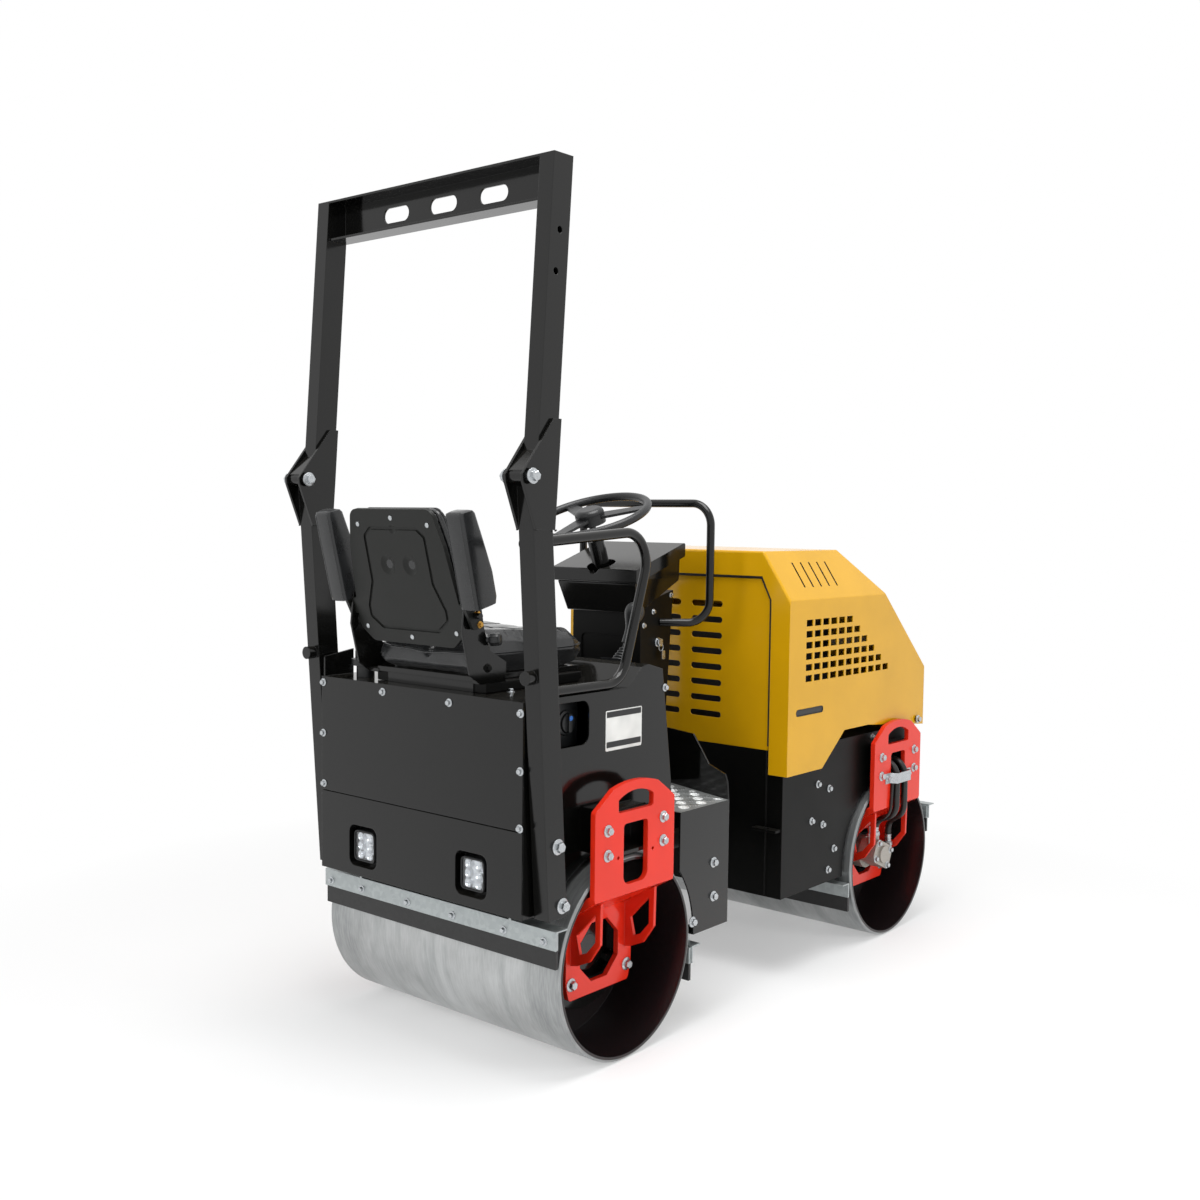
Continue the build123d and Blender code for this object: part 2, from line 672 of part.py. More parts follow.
def leaning_tube(front, z0, z1, wall):
    out = [
        (front(z0) - POST_X + wall, z0),
        (front(z0) - wall, z0),
        (front(z1) - wall, z1),
        (front(z1) - POST_X + wall, z1),
    ]
    return prism_xz(out, -POST_IN - wall, -POST_IN - POST_Y + wall)


cheek_outline = [
    (hoop_x(1713), 1713),
    (hoop_x(1713) - 28, 1713),
    (PIN_X - 26, PIN_Z + 4),
    (PIN_X - 24, PIN_Z - 14),
    (post_x(1438) - POST_X, 1438),
    (post_x(1438), 1438),
    (hoop_x(SPLIT_Z), SPLIT_Z),
]
post = leaning_tube(post_x, POST_LOW, SPLIT_Z - 20, 0)
post -= leaning_tube(post_x, POST_LOW - 1, SPLIT_Z - 20 - POST_WALL, POST_WALL)
for y0 in (-POST_IN + CHEEK_T, -POST_IN - POST_Y):
    post += prism_xz(cheek_outline, y0, y0 - CHEEK_T)
post -= rod_y(PIN_X, PIN_Z, PIN_R + SNUG_FIT, -POST_IN + 50, -POST_IN - POST_Y - 50)
for bx, bz in POST_BOLT:
    post += rod_y(bx, bz, SPACER_R, -POST_IN - 1, -TUB_HALF)
stop_face = post_x(STOP_Z) - POST_X
post += rod_x(-POST_IN - POST_Y / 2, STOP_Z, STOP_R, stop_face - STOP_L, stop_face + 3)
rops_post_right = post
rops_post_left = left_of(post)

pin = rod_y(PIN_X, PIN_Z, PIN_R, -POST_IN + CHEEK_T + 10, -POST_IN - POST_Y - CHEEK_T - 10)
rops_pins = [pin, left_of(pin)]

cheek_gap = PART_GAP
upright = leaning_tube(hoop_x, SPLIT_Z, HOOP_TOP, 0)
upright -= leaning_tube(hoop_x, SPLIT_Z - 1, HOOP_TOP - BAR_T, POST_WALL)
upright &= block(-600, 0, -POST_IN - cheek_gap, -POST_IN - POST_Y + cheek_gap, 0, 3000)
lug_side = [
    (hoop_x(PIN_Z + 70) - POST_X + 4, PIN_Z + 70),
    (hoop_x(SPLIT_Z) - POST_X + 4, SPLIT_Z),
    (PIN_X, PIN_Z - LUG_R + 6),
    (PIN_X - LUG_R + 8, PIN_Z + 14),
]
lug = prism_xz(lug_side, -POST_IN - cheek_gap, -POST_IN - POST_Y + cheek_gap)
lug += rod_y(PIN_X, PIN_Z, LUG_R - 6, -POST_IN - cheek_gap, -POST_IN - POST_Y + cheek_gap)
upright += lug
upright -= rod_y(PIN_X, PIN_Z, PIN_R + RUN_FIT, 0, -900)
for hx, hz in HOOP_HOLE:
    upright -= rod_y(hx, hz, HOOP_HOLE_R, -POST_IN - POST_Y - 5, -POST_IN - POST_Y + POST_WALL + 5)
bar_rear = hoop_x(HOOP_TOP) - POST_X
bar_half = POST_IN + cheek_gap + 1
rops_hoop = upright + left_of(upright)
rops_hoop += block(HOOP_TOP_FRONT - BAR_T - 4, HOOP_TOP_FRONT - 4, -bar_half, bar_half, HOOP_TOP - BAR_H, HOOP_TOP)
rops_hoop += block(bar_rear, HOOP_TOP_FRONT - 4, -bar_half, bar_half, HOOP_TOP - BAR_T, HOOP_TOP)
rops_hoop += block(bar_rear, HOOP_TOP_FRONT - 4, -bar_half, bar_half, HOOP_TOP - BAR_H, HOOP_TOP - BAR_H + BAR_T)
for n in (-1, 0, 1):
    slot = Plane.YZ.offset(HOOP_TOP_FRONT - 60) * Pos(n * BAR_SLOT_PITCH, HOOP_TOP - BAR_H / 2)
    rops_hoop -= extrude(slot * SlotOverall(BAR_SLOT_L, BAR_SLOT_W), amount=120)

# Seat: base with hinge plates, cushion, padded back on a formed shell and two folding armrests
seat_base = block(CUSHION_REAR + 30, 60, -170, 170, TUB_DECK, TUB_DECK + 30)
seat_base += block(CUSHION_REAR + 10, 90, -190, 190, TUB_DECK + 30, CUSHION_LOW - 0.5)
hip = [
    (-400, BACK_FOOT[1] + 10),
    (-372, CUSHION_LOW + 10),
    (-330, CUSHION_LOW - 18),
    (-240, CUSHION_LOW - 18),
    (-238, CUSHION_LOW + 35),
    (-300, CUSHION_LOW + 70),
    (-322, BACK_FOOT[1] + 20),
    (-340, BACK_FOOT[1] + 98),
    (-392, BACK_FOOT[1] + 98),
]
hip_plate = prism_xz(hip, -SEAT_HALF - 3, -SEAT_HALF - 3 - SIDE_PLATE_T)
hip_foot = block(-330, -250, -SEAT_HALF - 4, -185, CUSHION_LOW - 18, CUSHION_LOW - 8)
hip_boss = rod_y(*ARM_PIVOT, ARM_PIVOT_R, -SEAT_HALF - 4, -ARM_IN - ARMREST_W / 2)
seat_side = hip_plate + hip_foot + hip_boss
seat_base = seat_base + seat_side + left_of(seat_side)

cushion_side = [
    (CUSHION_REAR, CUSHION_LOW + 14),
    (CUSHION_REAR + 6, CUSHION_LOW + 58),
    (CUSHION_REAR + 60, CUSHION_LOW + 104),
    (CUSHION_REAR + 160, CUSHION_LOW + 122),
    (CUSHION_FRONT - 60, CUSHION_LOW + 102),
    (CUSHION_FRONT, CUSHION_LOW + 70),
    (CUSHION_FRONT - 10, CUSHION_LOW + 26),
    (CUSHION_FRONT - 70, CUSHION_LOW),
    (CUSHION_REAR + 20, CUSHION_LOW),
]
seat_cushion = prism_xz(cushion_side, -SEAT_HALF, SEAT_HALF)

lean = math.radians(SEAT_LEAN)
back_plane = Plane(
    origin=(BACK_FOOT[0], 0, BACK_FOOT[1]),
    x_dir=(0, 1, 0),
    z_dir=(math.cos(lean), 0, math.sin(lean)),
)
back_half = [(158, -36), (206, 4), (206, 66), (184, 240), (158, BACK_H)]
back_outline = back_half + [(-a, b) for a, b in reversed(back_half)]
back_face = fillet(make_face(Polyline(*back_outline, close=True)).vertices(), 30)
seat_shell = extrude(back_plane * back_face, amount=BACK_SHELL)
panel_half = [(112, 2), (156, 34), (156, 66), (124, 136), (122, 264), (92, 288)]
panel_outline = panel_half + [(-a, b) for a, b in reversed(panel_half)]
panel_face = fillet(make_face(Polyline(*panel_outline, close=True)).vertices(), 16)
groove = extrude(back_plane * (panel_face - offset(panel_face, -9)), amount=4)
seat_shell -= groove
for a in (-44, 44):
    seat_shell -= back_plane * Pos(a, 184, -44) * Sphere(52)
seat_shell -= back_plane * Pos(0, 282, -20) * Sphere(24)
for side in (-1, 1):
    arm_foot = back_plane.offset(4) * Pos(side * (SEAT_HALF + 3 - 26), 62) * Box(52, 44, 8)
    seat_shell += arm_foot
pad_plane = back_plane.offset(BACK_SHELL + 0.3)
pad_half = [(168, -6), (212, 24), (212, 72), (191, 244), (166, BACK_H + 10)]
pad_outline = pad_half + [(-a, b) for a, b in reversed(pad_half)]
pad_face = make_face(Polyline(*pad_outline, close=True))
seat_back = extrude(pad_plane * fillet(pad_face.vertices(), 20), amount=BACK_PAD)

arm_axis = Pos(ARM_PIVOT[0], 0, ARM_PIVOT[1]) * Rot(0, -SEAT_LEAN, 0)
arm_side = [
    (-38, 24),
    (34, 24),
    (42, 44),
    (42, 110),
    (16, ARMREST_L + 24),
    (-6, ARMREST_L + 32),
    (-38, ARMREST_L + 22),
]
arm_pad = prism_xz(arm_side, -ARM_IN, -ARM_IN - ARMREST_W)
arm_foot_side = [(-20, -16), (16, -16), (24, 30), (-30, 30)]
arm_foot = prism_xz(arm_foot_side, -ARM_IN, -ARM_IN - 12)
armrest_right = arm_axis * (arm_pad + arm_foot)
armrest_right -= rod_y(*ARM_PIVOT, ARM_PIVOT_R + RUN_FIT, 0, -600)
armrest_left = left_of(armrest_right)

# Console: leaning column with a tilted instrument box, steering shaft and wheel
column_side = [
    (COLUMN_REAR, FLOOR_Z),
    (COLUMN_REAR, CONSOLE_LOW[1] + 30),
    (CONSOLE_FAR[0] - 16, CONSOLE_LOW[1] + 70),
    (TOE_IN_X - SHEET - PART_GAP, FLOOR_Z),
]
console_column = prism_xz(column_side, -COLUMN_HALF, COLUMN_HALF)
console_lid = [
    CONSOLE_NEAR,
    CONSOLE_FAR,
    (CONSOLE_FAR[0], CONSOLE_FAR[1] - LID_H),
    (CONSOLE_NEAR[0], CONSOLE_NEAR[1] - LID_H),
]
console_sides = [
    (CONSOLE_NEAR[0] + LID_LIP, CONSOLE_NEAR[1] - LID_H + 2),
    (CONSOLE_FAR[0] - LID_LIP, CONSOLE_FAR[1] - LID_H + 2),
    (CONSOLE_FAR[0] - LID_LIP - 4, CONSOLE_FAR[1] - 120),
    CONSOLE_LOW,
]
console_taper = [
    (COLUMN_HALF, CONSOLE_LOW[1] - 20),
    (CONSOLE_HALF - LID_LIP, CONSOLE_LOW[1] + 110),
    (CONSOLE_HALF - LID_LIP, CONSOLE_FAR[1] + 20),
]
console_taper += [(-y, z) for y, z in reversed(console_taper)]
console_tub = prism_xz(console_sides, -CONSOLE_HALF, CONSOLE_HALF)
console_tub &= prism_yz(console_taper, CONSOLE_NEAR[0] - 5, CONSOLE_FAR[0] + 5)
console_lid = prism_xz(console_lid, -CONSOLE_HALF, CONSOLE_HALF)
console_lid = fillet(console_lid.edges().filter_by(Axis.Y), 6)
console_box = console_lid + fillet(console_tub.edges().filter_by(Axis.Y), 6)
console_column -= console_box
knee_panel = [(-102, FLOOR_Z + 120), (102, FLOOR_Z + 120), (102, CONSOLE_LOW[1] - 70), (-102, CONSOLE_LOW[1] - 70)]
console_column -= prism_yz(knee_panel, COLUMN_REAR - 5, COLUMN_REAR + 4, 16)
wheel_at = Pos(WHEEL_HUB[0], 0, WHEEL_HUB[1]) * Rot(0, -WHEEL_LEAN, 0)
console_box -= wheel_at * rod_z(0, 0, SHAFT_POCKET_R, -172, 0)
console_box += wheel_at * rod_z(0, 0, 26, -190, -62)
console_box += wheel_at * rod_z(0, 0, SHAFT_R, -70, 6)

rim = Pos(0, 0, 15) * Torus(WHEEL_R, WHEEL_TUBE)
hub = rod_z(0, 0, HUB_R, -8, 40)
hub = fillet(hub.edges().group_by(Axis.Z)[-1], 18) - rod_z(0, 0, SHAFT_R + RUN_FIT, -20, 7)
wheel = rim + hub
for n in range(3):
    spoke_edge = [(HUB_R - 6, -26), (WHEEL_R - 4, -17), (WHEEL_R - 4, 17), (HUB_R - 6, 26)]
    wheel += Rot(0, 0, 60 + 120 * n) * prism_xy(spoke_edge, 8, 16)
knob_at = Rot(0, 0, 150) * Pos(WHEEL_R, 0, 0)
wheel += knob_at * rod_z(0, 0, 8, 20, 44) + knob_at * Pos(0, 0, 58) * Sphere(21)
steering_wheel = wheel_at * wheel

front_handrail = pipe(
    [
        (COLUMN_REAR + 100, -COLUMN_HALF + 2, RAIL_LOW),
        (RAIL_X, -RAIL_Y, RAIL_LOW),
        (RAIL_X, -RAIL_Y, RAIL_TOP),
        (RAIL_X, RAIL_Y, RAIL_TOP),
        (RAIL_X, RAIL_Y, RAIL_LOW),
        (COLUMN_REAR + 100, COLUMN_HALF - 2, RAIL_LOW),
    ],
    RAIL_BEND,
    RAIL_R,
)
front_handrail -= block(
    COLUMN_REAR, RAIL_X, -COLUMN_HALF, COLUMN_HALF, RAIL_LOW - 2 * RAIL_R, RAIL_LOW + 2 * RAIL_R
)

side_rail = pipe(
    [
        (post_x(SIDE_RAIL_BACK) - POST_X / 2, SIDE_RAIL_Y, SIDE_RAIL_BACK),
        (SIDE_RAIL_FRONT[0], SIDE_RAIL_Y, SIDE_RAIL_FRONT[1]),
        (SIDE_RAIL_FOOT[0], SIDE_RAIL_Y, TUB_DECK + SIDE_RAIL_R),
        (SIDE_RAIL_FOOT[1], SIDE_RAIL_Y, TUB_DECK + SIDE_RAIL_R),
    ],
    SIDE_RAIL_BEND,
    SIDE_RAIL_R,
)
side_rail += rod_y(
    post_x(SIDE_RAIL_BACK) - POST_X / 2,
    SIDE_RAIL_BACK,
    SIDE_RAIL_R - 2,
    SIDE_RAIL_Y,
    -POST_IN,
)
side_rail -= prism_xz(tub_profile, -TUB_HALF, TUB_HALF)

lever_seat = [
    (TUB_PEAK_X + 4, TUB_PEAK_Z - 1),
    (TUB_NOSE_X - 2, TUB_NOSE_Z + 0.5),
    (TUB_NOSE_X - 2, TUB_NOSE_Z + 6),
    (TUB_PEAK_X + 4, TUB_PEAK_Z + 6),
]
lever_at = Pos(*LEVER_FOOT) * Rot(0, LEVER_LEAN, 0)
knob_low = LEVER_L - KNOB_L
knob_edge = Spline(
    (STEM_R, knob_low),
    (STEM_R + 3, knob_low + 0.45 * KNOB_L),
    (KNOB_R, knob_low + 0.78 * KNOB_L),
    (0, LEVER_L),
    tangents=((0, 1), (-1, 0)),
)
knob_face = make_face(knob_edge + Polyline((0, LEVER_L), (0, knob_low), (STEM_R, knob_low)))
travel_lever = rod_z(0, 0, LEVER_R, -4, knob_low + 10) + revolve(Plane.XZ * knob_face, axis=Axis.Z)
for n in range(BOOT_FOLDS):
    boot_r = BOOT_R - n * (BOOT_R - LEVER_R - 4) / BOOT_FOLDS
    travel_lever += Pos(0, 0, (n + 0.5) * BOOT_FOLD) * Cylinder(boot_r - 4, BOOT_FOLD)
    travel_lever += Pos(0, 0, (n + 0.5) * BOOT_FOLD) * Torus(boot_r - 4, 4)
travel_lever = lever_at * travel_lever
travel_lever += prism_xz(lever_seat, LEVER_FOOT[1] - BOOT_R - 8, LEVER_FOOT[1] + BOOT_R + 8)
travel_lever -= prism_xz(tub_profile, -TUB_HALF, TUB_HALF)

filler_cap = rod_z(-280, 300, 26, TUB_DECK, TUB_DECK + 34) + rod_z(-280, 300, 40, TUB_DECK + 34, TUB_DECK + 52)
filler_cap += Pos(-280, 300, TUB_DECK + 62) * Box(14, 76, 22)

# Front frame: rear plate, side plates and tray over the front drum, with the centre fork
nose_swing = math.hypot(HOOD_NOSE - HINGE_X, HINGE_Z - HOOD_NOSE_LOW) + SWING_GAP
frame_profile = [
    (FRAME_REAR, FRAME_LOW),
    (FRAME_REAR, FRAME_TOP),
    (HINGE_X - nose_swing, FRAME_TOP),
    (HINGE_X - nose_swing, HINGE_Z - nose_swing),
    (FRAME_FRONT, HINGE_Z - nose_swing),
    (FRAME_FRONT, FRAME_LOW),
]
frame_core = [
    (FRAME_REAR + FRAME_WALL, FRAME_LOW + FRAME_WALL),
    (FRAME_REAR + FRAME_WALL, FRAME_TOP - FRAME_WALL),
    (HINGE_X - nose_swing - FRAME_WALL, FRAME_TOP - FRAME_WALL),
    (HINGE_X - nose_swing - FRAME_WALL, HINGE_Z - nose_swing - FRAME_WALL),
    (FRAME_FRONT - FRAME_WALL, HINGE_Z - nose_swing - FRAME_WALL),
    (FRAME_FRONT - FRAME_WALL, FRAME_LOW),
]
front_chassis = prism_xz(frame_profile, -FRAME_HALF, FRAME_HALF) - arch(WHEELBASE, 2 * FRAME_HALF)
core = prism_xz(frame_core, FRAME_WALL - FRAME_HALF, FRAME_HALF - FRAME_WALL)
front_chassis -= core - rod_y(WHEELBASE, AXLE_Z, ARCH_R + FRAME_WALL, -FRAME_HALF, FRAME_HALF)
front_chassis -= block(FRAME_REAR + 120, FRAME_REAR + 320, -200, 200, FRAME_TOP - 20, FRAME_TOP + 5)
front_arm = arm(WHEELBASE, -FRAME_HALF + 1)
front_chassis = front_chassis + front_arm + left_of(front_arm)
passage = hose_passage(WHEELBASE, -FRAME_HALF + FRAME_WALL)
front_chassis -= passage + left_of(passage)
for z0 in (TONGUE_Z[0] - EAR_GAP - EAR_T, TONGUE_Z[1] + EAR_GAP):
    ear = block(PIVOT_X, FRAME_REAR + 2, -TONGUE_R, TONGUE_R, z0, z0 + EAR_T)
    ear += rod_z(PIVOT_X, 0, TONGUE_R, z0, z0 + EAR_T)
    front_chassis += ear - rod_z(PIVOT_X, 0, PIVOT_R + SNUG_FIT, 0, 900)
for z0 in (CYL_Z - 36, CYL_Z + 22):
    lug = block(CYL_FRONT[0] - 4, FRAME_REAR + 2, CYL_FRONT[1] - 30, CYL_FRONT[1] + 30, z0, z0 + 14)
    front_chassis += lug + rod_z(*CYL_FRONT, 30, z0, z0 + 14)

lock_plate = block(FRAME_REAR - 30, FRAME_REAR + 2, 4 - FRAME_HALF, 94 - FRAME_HALF, 480, 488)
front_chassis += lock_plate - rod_z(FRAME_REAR - 14, 48 - FRAME_HALF, 9, 400, 500)

panel_outline = [
    (-PANEL_HALF, FRAME_TOP),
    (PANEL_HALF, FRAME_TOP),
    (PANEL_HALF, HOOD_EAVE),
    (PANEL_TOP_HALF, PANEL_TOP),
    (-PANEL_TOP_HALF, PANEL_TOP),
    (-PANEL_HALF, HOOD_EAVE),
]
engine_panel = prism_yz(panel_outline, PANEL_X, PANEL_X + HOOD_WALL)
engine_panel += block(PANEL_X, FRAME_REAR + 60, -PANEL_HALF, PANEL_HALF, FRAME_TOP, FRAME_TOP + 5)
for n in range(REAR_SLOT_N):
    for y in REAR_SLOT_Y:
        slot = Plane.YZ.offset(PANEL_X - 5) * Pos(y, REAR_SLOT_Z - n * REAR_SLOT_PITCH)
        engine_panel -= extrude(slot * SlotOverall(REAR_SLOT_L, REAR_SLOT_W), amount=16)

engine_block = block(ENGINE[0], ENGINE[1], -ENGINE[2], ENGINE[2], FRAME_TOP, ENGINE[3])


# Hood: one sheet shell with sloped nose and chamfered eaves
def hood_solid(wall):
    side = [
        (HOOD_REAR + wall, HOOD_LOW - wall),
        (HOOD_REAR + wall, HOOD_TOP - wall),
        (HOOD_TOP_END - wall * 0.4, HOOD_TOP - wall),
        (HOOD_NOSE - wall, HOOD_NOSE_Z - wall * 0.4),
        (HOOD_NOSE - wall, HOOD_NOSE_LOW - wall),
        (HOOD_STEP_X[1] + 160, HOOD_STEP_Z - wall),
        (HOOD_STEP_X[1], HOOD_STEP_Z - wall),
        (HOOD_STEP_X[0], HOOD_LOW - wall),
    ]
    ends = [
        (HOOD_HALF - wall, 0),
        (HOOD_HALF - wall, HOOD_EAVE - wall * 0.3),
        (HOOD_TOP_HALF - wall * 0.6, HOOD_TOP - wall),
    ]
    section = ends + [(-y, z) for y, z in reversed(ends)]
    body = prism_xz(side, -HOOD_HALF, HOOD_HALF) & prism_yz(section, HOOD_REAR, HOOD_NOSE)
    upper = [e for e in body.edges() if min(v.Z for v in e.vertices()) > HOOD_NOSE_Z - 2 * HOOD_WALL]
    return fillet(upper, HOOD_ROUND - wall)


hood = hood_solid(0) - hood_solid(HOOD_WALL)
mouth = [
    (-PANEL_HALF - PANEL_GAP, HOOD_LOW - 10),
    (PANEL_HALF + PANEL_GAP, HOOD_LOW - 10),
    (PANEL_HALF + PANEL_GAP, HOOD_EAVE),
    (PANEL_TOP_HALF + PANEL_GAP, PANEL_TOP + PANEL_GAP),
    (-PANEL_TOP_HALF - PANEL_GAP, PANEL_TOP + PANEL_GAP),
    (-PANEL_HALF - PANEL_GAP, HOOD_EAVE),
]
hood -= prism_yz(mouth, HOOD_REAR - 5, HOOD_REAR + HOOD_WALL + 5)
for row, count in enumerate(GRID_ROWS):
    z = GRID_Z - row * GRID_ROW
    for n in range(count):
        x = GRID_X + n * GRID_PITCH
        low = z - GRID_HOLE[1] / 2
        hood -= block(x, x + GRID_HOLE[0], -HOOD_HALF - 9, HOOD_HALF + 9, low, low + GRID_HOLE[1])
hand_slot = Plane.XZ.offset(-HOOD_HALF - 9) * Pos(*HAND_SLOT) * SlotOverall(HAND_SLOT_L, HAND_SLOT_W)
hood -= extrude(hand_slot, amount=2 * HOOD_HALF + 18)
eave = math.degrees(math.atan2(HOOD_TOP - HOOD_EAVE, HOOD_HALF - HOOD_TOP_HALF))
for n in range(EAVE_SLOT_N):
    mid = (HOOD_HALF + HOOD_TOP_HALF) / 2
    cut = Pos(EAVE_SLOT_X + n * EAVE_SLOT_PITCH, -mid, (HOOD_EAVE + HOOD_TOP) / 2) * Rot(eave, 0, 0)
    cut *= Box(EAVE_SLOT_W, EAVE_SLOT_L, 60)
    hood -= cut
    hood -= left_of(cut)
hinge_hole = rod_y(HINGE_X, HINGE_Z, HINGE_R + RUN_FIT, -HOOD_HALF - 10, HOOD_HALF + 10)
hood -= hinge_hole
hood_pin = rod_y(HINGE_X, HINGE_Z, HINGE_R, -HOOD_HALF - 8, 10 - FRAME_HALF)
ear_side = [
    (HINGE_X - nose_swing - 10, HINGE_Z - nose_swing - 4),
    (HINGE_X - 14, HINGE_Z - nose_swing - 4),
    (HINGE_X - 6, HINGE_Z - 42),
    (HINGE_X + 20, HINGE_Z - 14),
    (HINGE_X + 20, HINGE_Z + 10),
    (HINGE_X + 8, HINGE_Z + 22),
    (HINGE_X - 14, HINGE_Z + 20),
    (HINGE_X - nose_swing - 10, FRAME_TOP - 4),
]
hinge_ear = prism_xz(ear_side, 10 - FRAME_HALF, -FRAME_HALF)
front_chassis += hood_pin + hinge_ear + left_of(hood_pin + hinge_ear)

front_lamps = []
for side in (-1, 1):
    y = side * LAMP_Y
    z = (HOOD_NOSE_LOW + HOOD_NOSE_Z) / 2
    hood -= lamp_hole(HOOD_NOSE - 30, HOOD_NOSE + 20, LAMP_HALF, LAMP_R, y, z)
    cup = lamp_hole(HOOD_NOSE - LAMP_DEPTH, HOOD_NOSE + 2, LAMP_HALF - SNUG_FIT, LAMP_R, y, z)
    front_lamps.append(cup - lamp_hole(HOOD_NOSE - 4, HOOD_NOSE + 20, LAMP_HALF - 6, LAMP_R - 5, y, z))

# Scrapers: galvanised angle with a rubber blade on each side of each drum
def scraper(low, shelf):
    blade_at = DRUM_R + SCRAPER_GAP
    top = low + BLADE_DROP + SCRAPER_LEG
    near = min(abs(low - AXLE_Z), abs(top - AXLE_Z))
    face = math.sqrt(blade_at**2 - near**2)
    leg_x = face + BLADE_T
    body = block(leg_x, leg_x + SCRAPER_T, -SCRAPER_HALF, SCRAPER_HALF, top - SCRAPER_LEG, top)
    body += block(face, leg_x, -SCRAPER_HALF + 4, SCRAPER_HALF - 4, low, top - SCRAPER_T)
    body += block(leg_x, leg_x + shelf, -SCRAPER_HALF, SCRAPER_HALF, top - SCRAPER_T, top)
    return body, leg_x, top


rear_back, leg_x, leg_top = scraper(SCRAPER_HIGH, -SCRAPER_SHELF)
for y in (-SCRAPER_HANG, SCRAPER_HANG):
    rear_back += block(leg_x - SCRAPER_SHELF, leg_x + SCRAPER_T, y - 4, y + 4, leg_top - 2, TUB_LOW)
rear_back = mirror(rear_back, about=Plane.YZ)
rear_front, leg_x, leg_top = scraper(SCRAPER_DEEP, SCRAPER_SHELF)
for y in (-STEP_HALF + 40, STEP_HALF - 40):
    rear_front += block(leg_x, leg_x + SCRAPER_SHELF, y - 4, y + 4, leg_top - 2, STEP_LOW)
rear_scrapers = [rear_back, rear_front]

front_back, leg_x, leg_top = scraper(SCRAPER_DEEP, SCRAPER_SHELF)
for y in (-SCRAPER_HANG, SCRAPER_HANG):
    front_back += block(leg_x, leg_x + SCRAPER_SHELF, y - 4, y + 4, leg_top - 2, FRAME_LOW)
front_back = Pos(WHEELBASE, 0, 0) * mirror(front_back, about=Plane.YZ)
front_front, leg_x, leg_top = scraper(SCRAPER_HIGH, SCRAPER_SHELF)
hanger = [
    (leg_x, leg_top - 30),
    (leg_x + SCRAPER_SHELF, leg_top - 2),
    (leg_x + SCRAPER_SHELF, leg_top + 20),
    (FRAME_FRONT - WHEELBASE + 30, FRAME_TOP - 110),
    (FRAME_FRONT - WHEELBASE, FRAME_TOP - 80),
    (FRAME_FRONT - WHEELBASE, FRAME_TOP - 180),
    (leg_x, leg_top),
]
for y in (-SCRAPER_HANG, SCRAPER_HANG):
    front_front += prism_xz(hanger, y - 4, y + 4)
front_front = Pos(WHEELBASE, 0, 0) * front_front
front_scrapers = [front_back, front_front]

parts = {
    "rear_tub": rear_tub,
    "rear_cover": rear_cover,
    "rear_lamp_panel": rear_lamp_panel,
    "rear_lamps": rear_lamps,
    "rear_yoke": rear_yoke,
    "rear_bracket_right": bracket(0),
    "rear_bracket_left": left_of(bracket(0)),
    "rear_drum_carriers": [carrier(0), left_of(carrier(0))],
    "rear_drum": drum(0),
    "rear_scrapers": rear_scrapers,
    "platform": platform,
    "toe_board": toe_board,
    "rops_post_right": rops_post_right,
    "rops_post_left": rops_post_left,
    "rops_pins": rops_pins,
    "rops_hoop": rops_hoop,
    "seat_base": seat_base,
    "seat_cushion": seat_cushion,
    "seat_shell": seat_shell,
    "seat_back": seat_back,
    "armrest_right": armrest_right,
    "armrest_left": armrest_left,
    "console_column": console_column,
    "console_box": console_box,
    "steering_wheel": steering_wheel,
    "front_handrail": front_handrail,
    "side_rail": side_rail,
    "travel_lever": travel_lever,
    "filler_cap": filler_cap,
    "steering_cylinder": steering_cylinder,
    "steering_rod": steering_rod,
    "centre_pin": centre_pin,
    "front_chassis": front_chassis,
    "engine_panel": engine_panel,
    "engine_block": engine_block,
    "hood": hood,
    "front_lamps": front_lamps,
    "front_bracket_right": bracket(WHEELBASE),
    "front_bracket_left": left_of(bracket(WHEELBASE)),
    "front_drum_carriers": [carrier(WHEELBASE), left_of(carrier(WHEELBASE))],
    "front_drum": drum(WHEELBASE),
    "front_scrapers": front_scrapers,
    "rear_motor": left_of(motor(0)),
    "rear_hoses": [left_of(hose) for hose in hoses(0)],
    "front_motors": [motor(WHEELBASE), left_of(motor(WHEELBASE))],
    "front_hoses": hoses(WHEELBASE) + [left_of(hose) for hose in hoses(WHEELBASE)],
}

solids = {}
for name, shape in parts.items():
    pieces = shape if isinstance(shape, list) else [shape]
    solids[name] = [solid for piece in pieces for solid in piece.solids()]
boxes = [solid.bounding_box() for group in solids.values() for solid in group]
ORIGIN_X = round((min(b.min.X for b in boxes) + max(b.max.X for b in boxes)) / 2, 1)
for name, group in solids.items():
    group = [Pos(-ORIGIN_X, 0, 0) * solid for solid in group]
    export_step(Compound(group) if len(group) > 1 else group[0], f"parts/{name}.step")
print("origin lies", ORIGIN_X, "mm ahead of the rear drum's axis")
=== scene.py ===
"""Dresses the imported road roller: finishes, fasteners, upholstery, tread, lamps, trim and a studio."""

import math

import bmesh
import bpy
from mathutils import Matrix, Vector
from mathutils.bvhtree import BVHTree


